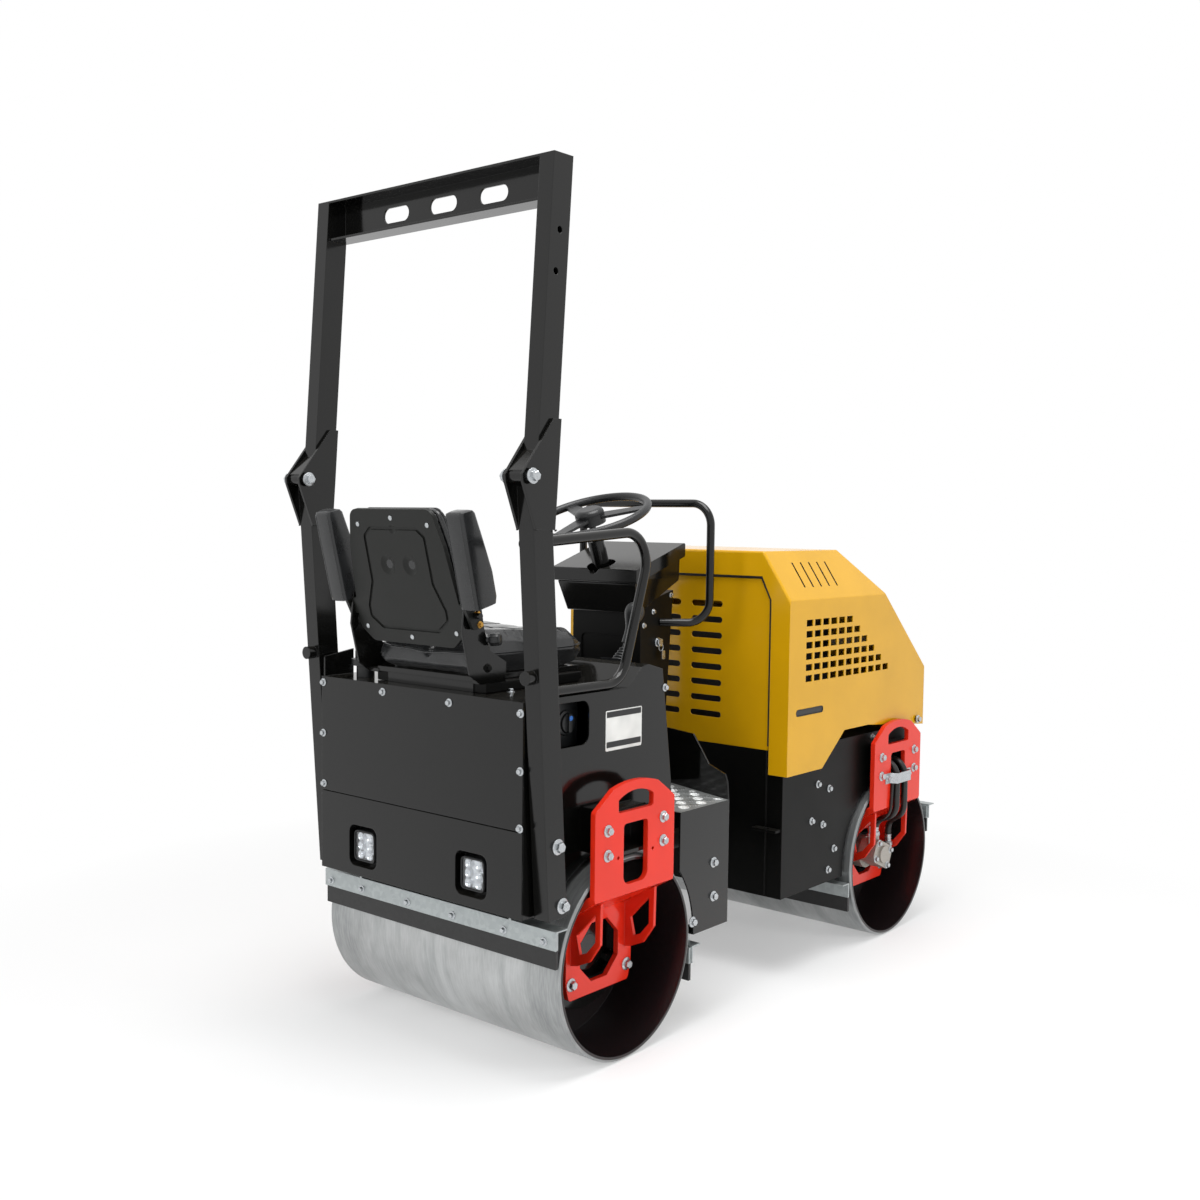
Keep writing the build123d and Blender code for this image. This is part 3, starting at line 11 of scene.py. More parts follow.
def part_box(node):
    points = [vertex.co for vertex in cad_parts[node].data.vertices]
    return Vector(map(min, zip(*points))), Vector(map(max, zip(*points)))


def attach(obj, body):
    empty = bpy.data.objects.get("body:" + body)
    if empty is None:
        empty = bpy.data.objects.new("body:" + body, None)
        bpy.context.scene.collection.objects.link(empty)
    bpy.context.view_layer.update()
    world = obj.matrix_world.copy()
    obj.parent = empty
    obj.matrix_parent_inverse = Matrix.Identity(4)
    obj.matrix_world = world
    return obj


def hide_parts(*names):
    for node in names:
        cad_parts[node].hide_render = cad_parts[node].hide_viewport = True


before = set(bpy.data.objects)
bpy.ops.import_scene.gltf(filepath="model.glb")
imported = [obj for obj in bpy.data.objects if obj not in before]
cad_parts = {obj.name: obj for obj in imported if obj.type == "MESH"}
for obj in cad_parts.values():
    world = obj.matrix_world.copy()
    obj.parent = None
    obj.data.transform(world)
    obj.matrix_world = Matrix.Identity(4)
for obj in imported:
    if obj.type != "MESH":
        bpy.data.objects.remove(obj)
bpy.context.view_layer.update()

bl_info = {
    "name": "Road roller looks",
    "version": (1, 0, 0),
    "blender": (4, 5, 0),
    "location": "3D View > Sidebar > Roller",
    "description": "Finishes, dresses and lights the road roller",
    "category": "Object",
}


def linear(code):
    """Linear RGBA of an sRGB hex colour."""
    rgb = [int(code[i : i + 2], 16) / 255 for i in (1, 3, 5)]
    return [c / 12.92 if c <= 0.04045 else ((c + 0.055) / 1.055) ** 2.4 for c in rgb] + [1.0]


DRUM_LO, DRUM_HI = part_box("rear_drum")
AXLE_X = (DRUM_LO.x + DRUM_HI.x) / 2
DRUM_R = (DRUM_HI.z - DRUM_LO.z) / 2
FRONT_LO, FRONT_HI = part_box("front_drum")
WHEELBASE = ((FRONT_LO.x + FRONT_HI.x) / 2 - AXLE_X) * 1000


def at(x, y, z):
    """Row-frame point in metres of a place in millimetres from the rear axle."""
    return Vector((AXLE_X + x / 1000, y / 1000, z / 1000))


# Places in millimetres from the rear axle: X forward, Y to the left, Z up from the floor.
# A SIDE is the distance of an outer face from the middle plane.
COVER_X = -359
SCRAPER_X, SCRAPER_BOLT_Z = -297, 386
DECK_Z = 1005
FLOOR_Z = 640
TUB_SIDE = 400
POST_SIDE = 458
STEP_SIDE = 460
BRACKET_SIDE = 482
CARRIER_SIDE = 358
FRAME_SIDE = 438
HOOD_SIDE = 457
COLUMN_SIDE = 138
HIP_SIDE = 223
# Directions in which the rear covers and the right side face.
BACK = (-1, 0, 0)
RIGHT = (0, -1, 0)

# Settings


def colour_property(name, description, code):
    """Colour of a finish that a user may change, from an sRGB hex code."""
    return bpy.props.FloatVectorProperty(
        name=name, description=description, subtype="COLOR", size=4, default=linear(code)
    )


def length_property(name, description, default, least):
    """Length that a user may change, in metres."""
    return bpy.props.FloatProperty(
        name=name, description=description, unit="LENGTH", default=default, min=least
    )


class RollerColours(bpy.types.PropertyGroup):
    hood: colour_property("Hood", "Amber yellow of the hood", "#D29E0C")
    brackets: colour_property("Brackets", "Red of the drum brackets", "#DF2C17")
    body: colour_property("Body", "Black of the sheet metal", "#0B0B0A")
    steel: colour_property("Drum", "Bare steel of the drums", "#C2C4C4")
    vinyl: colour_property("Seat", "Black of the seat covers", "#18191A")


class RollerSizes(bpy.types.PropertyGroup):
    bolt: length_property("Bolt", "Across flats of a cover bolt", 0.013, 0.004)
    big_bolt: length_property("Big bolt", "Across flats of a bracket bolt", 0.024, 0.006)
    weld: length_property("Weld", "Width of a weld bead", 0.008, 0.002)
    piping: length_property("Piping", "Radius of the seat's piping", 0.0035, 0.001)
    bar: length_property("Tread bar", "Length of a raised tread bar", 0.034, 0.01)


# Material nodes


def set_inputs(tree, node, inputs):
    """Sets a node's inputs by name or number; a socket is linked, a value is set."""
    for key, value in inputs.items():
        if isinstance(value, bpy.types.NodeSocket):
            tree.links.new(value, node.inputs[key])
        else:
            node.inputs[key].default_value = value


def add_node(tree, kind, inputs, out=0, **settings):
    """Adds a node with its settings and inputs, and returns one of its outputs."""
    node = tree.nodes.new("ShaderNode" + kind)
    for name, value in settings.items():
        setattr(node, name, value)
    set_inputs(tree, node, inputs)
    return node.outputs[out]


def new_material(name):
    """Node material with its Principled shader, and the object's own coordinates in metres."""
    mat = bpy.data.materials.new(name)
    mat.use_nodes = True
    tree = mat.node_tree
    return mat, tree, tree.nodes["Principled BSDF"], add_node(tree, "TexCoord", {}, "Object")


def shade(colour, factor):
    """The colour made darker or lighter by a factor."""
    return [min(1.0, c * factor) for c in colour[:3]] + [1.0]


# Bare steel starts this far under a drum's face, and its rims are greyer over this width, in metres.
SKIN_IN, SKIN_OUT, RIM_WIDTH = 0.0075, 0.006, 0.13
# The scrapers' rubber lies under the first height, and between the other two, in metres.
LOW_RUBBER_TOP, HIGH_RUBBER_FOOT, HIGH_RUBBER_TOP = 0.1895, 0.30, 0.3675

# In the materials, Map Range takes value, from low, from high, to low, to high as inputs 0 to 4,
# and a colour Mix takes its factor as 0 and its colours as 6 and 7, and gives output 2.


def enamel(name, colour, rough, gloss, dust):
    """Enamel sprayed on sheet steel."""
    # Gives the eye a smooth coat that mirrors softly, with peel, dust on top, and edges lightened partly as
    # rubbed paint and partly as a painted highlight.
    mat, tree, shader, coords = new_material(name)
    soft = add_node(tree, "Bevel", {"Radius": 0.0025}, samples=4)
    flat = add_node(tree, "NewGeometry", {}, "Normal")
    edge = add_node(tree, "VectorMath", {0: soft, 1: flat}, "Value", operation="DOT_PRODUCT")
    edge = add_node(tree, "MapRange", {0: edge, 1: 0.94, 2: 0.80, 3: 0.0, 4: 1.0})
    cloud = add_node(tree, "TexNoise", {"Vector": coords, "Scale": 1 / 0.22, "Detail": 3.0})
    patch = add_node(tree, "MapRange", {0: cloud, 1: 0.35, 2: 0.70, 3: 0.0, 4: 1.0})
    base = add_node(tree, "Mix", {0: patch, 6: colour, 7: shade(colour, 0.90)}, 2, data_type="RGBA")
    up = add_node(tree, "SeparateXYZ", {0: soft}, "Z")
    film = add_node(tree, "MapRange", {0: up, 1: 0.55, 2: 1.0, 3: 0.0, 4: dust})
    base = add_node(tree, "Mix", {0: film, 6: base, 7: linear("#8C867A")}, 2, data_type="RGBA")
    # Edges are lightened in broken runs, partly as rubbed paint and partly as a painted highlight;
    # scratches are about 1 mm wide, and the runs are drawn at 9 mm.
    edge_runs = add_node(tree, "TexNoise", {"Vector": coords, "Scale": 1 / 0.009, "Detail": 4.0})
    edge_runs = add_node(tree, "MapRange", {0: edge_runs, 1: 0.52, 2: 0.72, 3: 0.0, 4: 0.35})
    # Painted highlight and rub: the edge runs take a much lighter shade of the paint.
    rub_and_highlight = add_node(tree, "Math", {0: edge, 1: edge_runs}, operation="MULTIPLY")
    base = add_node(tree, "Mix", {0: rub_and_highlight, 6: base, 7: shade(colour, 2.4)}, 2, data_type="RGBA")
    # Peel is about 4 mm across; drawn at 7 mm so that it survives at this distance.
    peel = add_node(tree, "TexNoise", {"Vector": coords, "Scale": 1 / 0.007, "Detail": 1.0})
    normal = add_node(tree, "Bump", {"Height": peel, "Distance": 0.0001, "Strength": 0.4, "Normal": soft})
    dull = add_node(tree, "MapRange", {0: cloud, 1: 0.3, 2: 0.75, 3: rough, 4: rough + 0.10})
    set_inputs(tree, shader, {"Base Color": base, "Roughness": dull, "Normal": normal})
    set_inputs(tree, shader, {"Specular IOR Level": gloss})
    return mat


def drum_finish(name, steel, axle):
    """Rolled and turned steel drum, painted black within its rim."""
    # Gives the eye a dull bare steel with lines round it, smears, greyer rims and a dark glossy inside.
    mat, tree, shader, coords = new_material(name)
    arm = add_node(tree, "VectorMath", {0: coords, 1: (axle.x, 0.0, axle.z)}, operation="SUBTRACT")
    flat = add_node(tree, "VectorMath", {0: arm, 1: (1.0, 0.0, 1.0)}, operation="MULTIPLY")
    reach = add_node(tree, "VectorMath", {0: flat}, "Value", operation="LENGTH")
    skin = {0: reach, 1: DRUM_R - SKIN_IN, 2: DRUM_R - SKIN_OUT, 3: 0.0, 4: 1.0}
    outside = add_node(tree, "MapRange", skin)
    # Turning lines are under 1 mm apart; drawn 5 mm apart so that they show.
    along = add_node(tree, "Mapping", {"Vector": coords, "Scale": (0.12, 1.0, 0.12)})
    lines = add_node(tree, "TexNoise", {"Vector": along, "Scale": 1 / 0.005, "Detail": 3.0})
    smear = add_node(tree, "TexNoise", {"Vector": along, "Scale": 1 / 0.06, "Detail": 5.0})
    blotch = add_node(tree, "TexNoise", {"Vector": coords, "Scale": 1 / 0.20, "Detail": 6.0})
    dim = add_node(tree, "MapRange", {0: blotch, 1: 0.35, 2: 0.65, 3: 0.0, 4: 1.0})
    base = add_node(tree, "Mix", {0: dim, 6: steel, 7: shade(steel, 0.70)}, 2, data_type="RGBA")
    dim = add_node(tree, "MapRange", {0: smear, 1: 0.48, 2: 0.72, 3: 0.0, 4: 0.55})
    base = add_node(tree, "Mix", {0: dim, 6: base, 7: linear("#6F7374")}, 2, data_type="RGBA")
    across = add_node(tree, "SeparateXYZ", {0: coords}, "Y")
    across = add_node(tree, "Math", {0: across}, operation="ABSOLUTE")
    edge = DRUM_HI.y
    rim = add_node(tree, "MapRange", {0: across, 1: edge - RIM_WIDTH, 2: edge, 3: 0.0, 4: 0.65})
    base = add_node(tree, "Mix", {0: rim, 6: base, 7: linear("#76797A")}, 2, data_type="RGBA")
    dim = add_node(tree, "MapRange", {0: lines, 1: 0.4, 2: 0.65, 3: 0.0, 4: 0.16})
    base = add_node(tree, "Mix", {0: dim, 6: base, 7: shade(steel, 1.35)}, 2, data_type="RGBA")
    base = add_node(tree, "Mix", {0: outside, 6: linear("#1B1516"), 7: base}, 2, data_type="RGBA")
    metal = add_node(tree, "MapRange", {0: outside, 1: 0.0, 2: 1.0, 3: 0.0, 4: 0.7})
    dull = add_node(tree, "MapRange", {0: outside, 1: 0.0, 2: 1.0, 3: 0.20, 4: 0.36})
    soft = add_node(tree, "Bevel", {"Radius": 0.002}, samples=4)
    normal = add_node(tree, "Bump", {"Height": lines, "Distance": 0.0001, "Strength": 0.3, "Normal": soft})
    set_inputs(tree, shader, {"Base Color": base, "Metallic": metal, "Roughness": dull, "Normal": normal})
    return mat


def plated(name, colour, rough):
    """Electroplated steel."""
    # Gives the eye a bright metal with faint handling marks and soft edges.
    mat, tree, shader, coords = new_material(name)
    marks = add_node(tree, "TexNoise", {"Vector": coords, "Scale": 1 / 0.006, "Detail": 3.0})
    marks = add_node(tree, "MapRange", {0: marks, 1: 0.3, 2: 0.7, 3: 0.0, 4: 1.0})
    plain = linear(colour)
    tint = add_node(tree, "Mix", {0: marks, 6: plain, 7: shade(plain, 0.75)}, 2, data_type="RGBA")
    dull = add_node(tree, "MapRange", {0: marks, 1: 0.0, 2: 1.0, 3: rough, 4: rough + 0.15})
    soft = add_node(tree, "Bevel", {"Radius": 0.0012}, samples=4)
    set_inputs(tree, shader, {"Base Color": tint, "Roughness": dull, "Normal": soft, "Metallic": 1.0})
    return mat


def galvanised(name):
    """Hot-dip galvanised steel angles, with the moulded rubber blades below them."""
    # Gives the eye a grey metal with spangle, and dull black rubber along the drum.
    mat, tree, shader, coords = new_material(name)
    # Spangle is about 12 mm across.
    cells = add_node(tree, "TexVoronoi", {"Vector": coords, "Scale": 1 / 0.012}, "Color")
    spangle = add_node(tree, "SeparateColor", {0: cells})
    height = add_node(tree, "SeparateXYZ", {0: coords}, "Z")
    low = add_node(tree, "Math", {0: height, 1: LOW_RUBBER_TOP}, operation="LESS_THAN")
    over = add_node(tree, "Math", {0: height, 1: HIGH_RUBBER_FOOT}, operation="GREATER_THAN")
    under = add_node(tree, "Math", {0: height, 1: HIGH_RUBBER_TOP}, operation="LESS_THAN")
    high = add_node(tree, "Math", {0: over, 1: under}, operation="MULTIPLY")
    rubber = add_node(tree, "Math", {0: low, 1: high}, operation="ADD", use_clamp=True)
    greys = {0: spangle, 6: linear("#A3A9AA"), 7: linear("#B2B8B8")}
    metal = add_node(tree, "Mix", greys, 2, data_type="RGBA")
    base = add_node(tree, "Mix", {0: rubber, 6: metal, 7: linear("#161616")}, 2, data_type="RGBA")
    shine = add_node(tree, "MapRange", {0: rubber, 1: 0.0, 2: 1.0, 3: 0.75, 4: 0.0})
    dull = add_node(tree, "MapRange", {0: spangle, 1: 0.0, 2: 1.0, 3: 0.36, 4: 0.46})
    soft = add_node(tree, "Bevel", {"Radius": 0.0015}, samples=4)
    set_inputs(tree, shader, {"Base Color": base, "Metallic": shine, "Roughness": dull, "Normal": soft})
    return mat


def vinyl(name, colour):
    """Calendered and embossed seat vinyl."""
    # Gives the eye a black skin with fine pebble grain, broad soft highlights and paler rubbed places.
    mat, tree, shader, coords = new_material(name)
    # Grain is about 1.5 mm; drawn at 2.5 mm so that it shows.
    grain = add_node(
        tree, "TexVoronoi", {"Vector": coords, "Scale": 1 / 0.0025}, "Distance", feature="SMOOTH_F1"
    )
    rubbed = add_node(tree, "TexNoise", {"Vector": coords, "Scale": 1 / 0.07, "Detail": 4.0})
    rubbed = add_node(tree, "MapRange", {0: rubbed, 1: 0.35, 2: 0.7, 3: 0.0, 4: 1.0})
    tint = add_node(tree, "Mix", {0: rubbed, 6: colour, 7: shade(colour, 1.5)}, 2, data_type="RGBA")
    dull = add_node(tree, "MapRange", {0: rubbed, 1: 0.0, 2: 1.0, 3: 0.16, 4: 0.27})
    normal = add_node(tree, "Bump", {"Height": grain, "Distance": 0.0002, "Strength": 0.2})
    set_inputs(tree, shader, {"Base Color": tint, "Roughness": dull, "Normal": normal})
    set_inputs(tree, shader, {"Sheen Weight": 0.08})
    return mat


def moulded(name, colour, rough, gloss, grain):
    """Moulded plastic or rubber."""
    # Gives the eye an even dark body with a fine eroded grain and edges that catch a thin light.
    mat, tree, shader, coords = new_material(name)
    fine = add_node(tree, "TexNoise", {"Vector": coords, "Scale": 1 / grain, "Detail": 2.0})
    patch = add_node(tree, "TexNoise", {"Vector": coords, "Scale": 1 / 0.09, "Detail": 2.0})
    patch = add_node(tree, "MapRange", {0: patch, 1: 0.3, 2: 0.7, 3: 0.0, 4: 1.0})
    plain = linear(colour)
    tint = add_node(tree, "Mix", {0: patch, 6: plain, 7: shade(plain, 1.35)}, 2, data_type="RGBA")
    dull = add_node(tree, "MapRange", {0: patch, 1: 0.0, 2: 1.0, 3: rough, 4: rough + 0.1})
    soft = add_node(tree, "Bevel", {"Radius": 0.002}, samples=4)
    normal = add_node(tree, "Bump", {"Height": fine, "Distance": 0.0003, "Strength": 0.4, "Normal": soft})
    set_inputs(tree, shader, {"Base Color": tint, "Roughness": dull, "Normal": normal})
    set_inputs(tree, shader, {"Specular IOR Level": gloss})
    return mat


def cast(name, colour, metallic):
    """Sand-cast iron housing."""
    # Gives the eye a rough grey skin with darker pits.
    mat, tree, shader, coords = new_material(name)
    # Sand grain is about 1 mm; drawn at 4 mm so that it shows.
    sand = add_node(tree, "TexNoise", {"Vector": coords, "Scale": 1 / 0.004, "Detail": 3.0})
    pits = add_node(tree, "MapRange", {0: sand, 1: 0.3, 2: 0.7, 3: 0.0, 4: 1.0})
    plain = linear(colour)
    tint = add_node(tree, "Mix", {0: pits, 6: plain, 7: shade(plain, 0.7)}, 2, data_type="RGBA")
    dull = add_node(tree, "MapRange", {0: pits, 1: 0.0, 2: 1.0, 3: 0.4, 4: 0.6})
    soft = add_node(tree, "Bevel", {"Radius": 0.002}, samples=4)
    normal = add_node(tree, "Bump", {"Height": sand, "Distance": 0.0005, "Strength": 0.5, "Normal": soft})
    set_inputs(tree, shader, {"Base Color": tint, "Roughness": dull, "Normal": normal})
    set_inputs(tree, shader, {"Metallic": metallic})
    return mat


def chequer(name, black, top):
    """Rolled chequer plate on the floor, its paint worn off, with enamelled skirts below."""
    # Gives the eye a scuffed pale metal floor that turns to gloss black over its folded edge.
    mat, tree, shader, coords = new_material(name)
    normal = add_node(tree, "NewGeometry", {}, "Normal")
    up = add_node(tree, "SeparateXYZ", {0: normal}, "Z")
    up = add_node(tree, "MapRange", {0: up, 1: 0.8, 2: 0.9, 3: 0.0, 4: 1.0})
    height = add_node(tree, "SeparateXYZ", {0: coords}, "Z")
    level = add_node(tree, "MapRange", {0: height, 1: top - 0.002, 2: top - 0.001, 3: 0.0, 4: 1.0})
    bare = add_node(tree, "Math", {0: up, 1: level}, operation="MULTIPLY")
    scuff = add_node(tree, "TexNoise", {"Vector": coords, "Scale": 1 / 0.03, "Detail": 4.0})
    scuff = add_node(tree, "MapRange", {0: scuff, 1: 0.35, 2: 0.7, 3: 0.0, 4: 1.0})
    greys = {0: scuff, 6: linear("#8B8D8C"), 7: linear("#A6A8A7")}
    metal = add_node(tree, "Mix", greys, 2, data_type="RGBA")
    base = add_node(tree, "Mix", {0: bare, 6: black, 7: metal}, 2, data_type="RGBA")
    shine = add_node(tree, "MapRange", {0: bare, 1: 0.0, 2: 1.0, 3: 0.0, 4: 0.4})
    dull = add_node(tree, "MapRange", {0: bare, 1: 0.0, 2: 1.0, 3: 0.18, 4: 0.42})
    soft = add_node(tree, "Bevel", {"Radius": 0.0025}, samples=4)
    set_inputs(tree, shader, {"Base Color": base, "Metallic": shine, "Roughness": dull, "Normal": soft})
    return mat


def lens(name):
    """Injection-moulded acrylic lamp lens."""
    # Gives the eye clear glassy plastic with a moulded ripple.
    mat, tree, shader, coords = new_material(name)
    ripple = add_node(tree, "TexNoise", {"Vector": coords, "Scale": 1 / 0.008, "Detail": 1.0})
    normal = add_node(tree, "Bump", {"Height": ripple, "Distance": 0.0006, "Strength": 0.5})
    dull = add_node(tree, "MapRange", {0: ripple, 1: 0.3, 2: 0.7, 3: 0.03, 4: 0.12})
    set_inputs(tree, shader, {"Base Color": linear("#F4F6F8"), "Roughness": dull, "Normal": normal})
    set_inputs(tree, shader, {"Transmission Weight": 1.0, "IOR": 1.49})
    return mat


MATERIALS = {}


def make_materials(colours):
    """Every finish on the machine, once."""
    body = list(colours.body)
    steel = list(colours.steel)
    MATERIALS.update(
        {
            "black": enamel("black_enamel_gloss", body, 0.08, 0.40, 0.04),
            "satin": enamel("black_enamel_satin", body, 0.30, 0.12, 0.02),
            "yellow": enamel("yellow_enamel_gloss", list(colours.hood), 0.10, 0.45, 0.02),
            "red": enamel("red_enamel_gloss", list(colours.brackets), 0.16, 0.40, 0.01),
            "rear_drum": drum_finish("rear_drum_turned_steel", steel, at(0, 0, DRUM_R * 1000)),
            "front_drum": drum_finish("front_drum_turned_steel", steel, at(WHEELBASE, 0, DRUM_R * 1000)),
            "zinc": plated("zinc_plated_steel", "#C9CDD0", 0.22),
            "brass": plated("yellow_zinc_screws", "#C99A4B", 0.26),
            "chrome": plated("hard_chromed_rod", "#D5D7DA", 0.08),
            "reflector": plated("vacuum_plated_reflector", "#E6E8EA", 0.10),
            "galvanised": galvanised("galvanised_steel_and_rubber"),
            "vinyl": vinyl("embossed_black_vinyl", list(colours.vinyl)),
            "shell": moulded("moulded_polyethylene_shell", "#111210", 0.40, 0.30, 0.004),
            "plastic": moulded("moulded_black_abs", "#161718", 0.30, 0.45, 0.005),
            "rubber": moulded("moulded_black_rubber", "#121212", 0.50, 0.30, 0.006),
            "hose": moulded("wrapped_rubber_hose", "#171716", 0.34, 0.50, 0.004),
            "plate": moulded("printed_white_foil", "#C9CAC7", 0.30, 0.40, 0.004),
            "blue": moulded("moulded_blue_abs", "#2B5FA6", 0.35, 0.50, 0.004),
            "cast_iron": cast("painted_cast_iron", "#2A2A2B", 0.0),
            "motor": cast("bare_cast_iron", "#B9B4AC", 0.6),
            "chequer": chequer("chequer_plate_and_enamel", body, FLOOR_Z / 1000),
            "tread": plated("worn_rolled_steel", "#DCDEDD", 0.34),
            "lens": lens("clear_acrylic_lens"),
        }
    )


# Mesh helpers


def finish_piece(name, bm, material, body, angle=40.0):
    """Turns a bmesh in the row frame into a piece that rides on a body."""
    bmesh.ops.recalc_face_normals(bm, faces=bm.faces)
    mesh = bpy.data.meshes.new(name)
    bm.to_mesh(mesh)
    bm.free()
    mesh.shade_smooth()
    mesh.set_sharp_from_angle(angle=math.radians(angle))
    mesh.materials.append(MATERIALS[material])
    piece = bpy.data.objects.new(name, mesh)
    bpy.context.scene.collection.objects.link(piece)
    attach(piece, body)
    return piece


def facing(place, axis, up=(0, 0, 1)):
    """Matrix at a place whose Z looks along an axis."""
    z = Vector(axis).normalized()
    side = Vector(up).cross(z)
    if side.length < 1e-6:
        side = Vector((1, 0, 0))
    x = side.normalized()
    y = z.cross(x)
    turn = Matrix((x, y, z)).transposed().to_4x4()
    return Matrix.Translation(place) @ turn


def add_rings(bm, rings, matrix=None, caps=True):
    """Skins a list of rings of points, with end caps."""
    loops = []
    for ring in rings:
        loops.append([bm.verts.new(matrix @ Vector(p) if matrix else Vector(p)) for p in ring])
    count = len(loops[0])
    for a, b in zip(loops, loops[1:]):
        for i in range(count):
            j = (i + 1) % count
            bm.faces.new((a[i], a[j], b[j], b[i]))
    if caps:
        bm.faces.new(list(reversed(loops[0])))
        bm.faces.new(loops[-1])


def circle(radius, z, sides, turn=0.0):
    """Points of a circle at a height."""
    steps = [turn + 2 * math.pi * i / sides for i in range(sides)]
    return [(radius * math.cos(a), radius * math.sin(a), z) for a in steps]


def add_lathe(bm, profile, matrix, sides=24):
    """Skins a profile of (radius, height) pairs round the matrix's Z axis."""
    add_rings(bm, [circle(r, z, sides) for r, z in profile], matrix)


def add_bolt(bm, place, axis, flats, turn=0.0):
    """Hex flange bolt: skirted washer face and chamfered head."""
    m = facing(place, axis)
    skirt = [(flats * 0.86, -0.001), (flats * 0.86, flats * 0.10), (flats * 0.62, flats * 0.20)]
    add_lathe(bm, skirt, m, 20)
    corner = flats / math.sqrt(3)
    heights = ((1.0, 0.14), (1.0, 0.62), (0.86, 0.72), (0.50, 0.72))
    add_rings(bm, [circle(corner * r, flats * h, 6, turn) for r, h in heights], m)


def add_tube(bm, path, radius, sides=12):
    """Tube along a list of points, kept from twisting."""
    rings = []
    points = [Vector(p) for p in path]
    side = None
    for i, point in enumerate(points):
        ahead = points[min(i + 1, len(points) - 1)] - points[max(i - 1, 0)]
        ahead.normalize()
        side = side or ahead.orthogonal().normalized()
        side = (side - ahead * side.dot(ahead)).normalized()
        other = ahead.cross(side)
        ring = []
        for k in range(sides):
            a = 2 * math.pi * k / sides
            ring.append(point + side * (radius * math.cos(a)) + other * (radius * math.sin(a)))
        rings.append(ring)
    add_rings(bm, rings)


def add_slab(bm, corners, thickness, axis):
    """Flat plate: its outline in the row frame and its thickness along an axis."""
    shift = Vector(axis).normalized() * thickness
    add_rings(bm, [[Vector(c) for c in corners], [Vector(c) + shift for c in corners]])


def rounded(points, radius, steps=4):
    """Flat outline of 2D points with its corners rounded."""
    out = []
    count = len(points)
    for i in range(count):
        p = Vector(points[i])
        a = Vector(points[i - 1]) - p
        b = Vector(points[(i + 1) % count]) - p
        r = min(radius, a.length * 0.45, b.length * 0.45)
        a = p + a.normalized() * r
        b = p + b.normalized() * r
        for k in range(steps + 1):
            t = k / steps
            out.append(tuple(a * (1 - t) ** 2 + p * (2 * t * (1 - t)) + b * t * t))
    return out


def rectangle(half_x, half_y, radius):
    """Rounded rectangle about the origin."""
    return rounded([(-half_x, -half_y), (half_x, -half_y), (half_x, half_y), (-half_x, half_y)], radius)


def add_weld(bm, a, b, width):
    """Hand-laid weld bead from a to b, in overlapping scales."""
    a, b = Vector(a), Vector(b)
    run = b - a
    steps = max(4, int(run.length / (width * 0.22)))
    along = run.normalized()
    side = along.orthogonal().normalized()
    other = along.cross(side)
    rings = []
    for i in range(steps + 1):
        swell = width * (0.40 + 0.08 * math.sin(i * math.pi / 2) + 0.03 * math.sin(i * 0.37))
        ring = []
        for k in range(8):
            t = 2 * math.pi * k / 8
            ring.append(a + run * (i / steps) + (side * math.cos(t) + other * math.sin(t)) * swell)
        rings.append(ring)
    add_rings(bm, rings)


# Finishes

# Faces that meet at more than this many degrees keep a sharp edge.
SHARP_ANGLE = 28
FINISHES = {
    "black": (
        "rear_tub rear_cover rear_lamp_panel rear_drum_carriers front_drum_carriers toe_board "
        "rops_post_right rops_post_left rops_hoop front_handrail side_rail seat_base console_box"
    ),
    "satin": "front_chassis rear_yoke steering_cylinder console_column",
    "yellow": "hood engine_panel",
    "red": "rear_bracket_right rear_bracket_left front_bracket_right front_bracket_left",
    "zinc": "rops_pins centre_pin",
    "chrome": "steering_rod",
    "chequer": "platform",
    "vinyl": "seat_cushion seat_back armrest_right armrest_left",
    "shell": "seat_shell",
    "plastic": "steering_wheel travel_lever filler_cap rear_lamps front_lamps",
    "cast_iron": "engine_block",
    "motor": "rear_motor front_motors",
    "hose": "rear_hoses front_hoses",
    "galvanised": "rear_scrapers front_scrapers",
    "rear_drum": "rear_drum",
    "front_drum": "front_drum",
}


class RollerFinishes(bpy.types.Operator):
    """Gives every CAD node its finish and smooth curves"""

    bl_idname = "object.roller_finishes"
    bl_label = "Finishes"

    def execute(self, context):
        make_materials(context.scene.roller_colours)
        for key, names in FINISHES.items():
            for name in names.split():
                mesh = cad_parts[name].data
                mesh.materials.clear()
                mesh.materials.append(MATERIALS[key])
                mesh.shade_smooth()
                mesh.set_sharp_from_angle(angle=math.radians(SHARP_ANGLE))
        return {"FINISHED"}


# Fasteners

# Bolts on faces that look back are (Y, Z), or Y alone along the scraper, on the deck (X, Y)
# and on the sides (X, Z), with X from the drum's own axle for the brackets and buffers.
COVER_BOLTS = [(392, 987), (392, 840), (389, 693), (133, 983), (-132, 979)]
COVER_BOLTS += [(-392, 977), (-392, 830), (-392, 684)]
SCRAPER_BOLTS = (434, 295, 99, -83, -278, -421)
BRACKET_BOLTS = [(-119, 651), (119, 651), (-119, 585), (119, 585)]
BUFFER_BOLTS = [(-118, 210), (118, 210)]
POST_BOLTS = [(-269, 480), (-289, 636)]
STEP_BOLTS = [(395, 466), (396, 365), (294, 311)]
FRAME_BOLTS = [(1017, 603), (1090, 578), (980, 486), (1051, 463), (1127, 369), (1092, 303), (1374, 718)]
COLUMN_BOLTS = [(596, 1228), (506, 1180), (459, 1139)]
DECK_BOLTS = [(-182, 301), (-229, -232), (-60, 330), (-60, -330)]
HOOP_HINGE = (-412, 1569)
HOOP_HINGE_OUTER, HOOP_HINGE_INNER = 476, 390
TOE_BOLT = (226, 991)
HOOD_HINGE = (1668, 752)
HOOD_HINGE_SIDE = 464


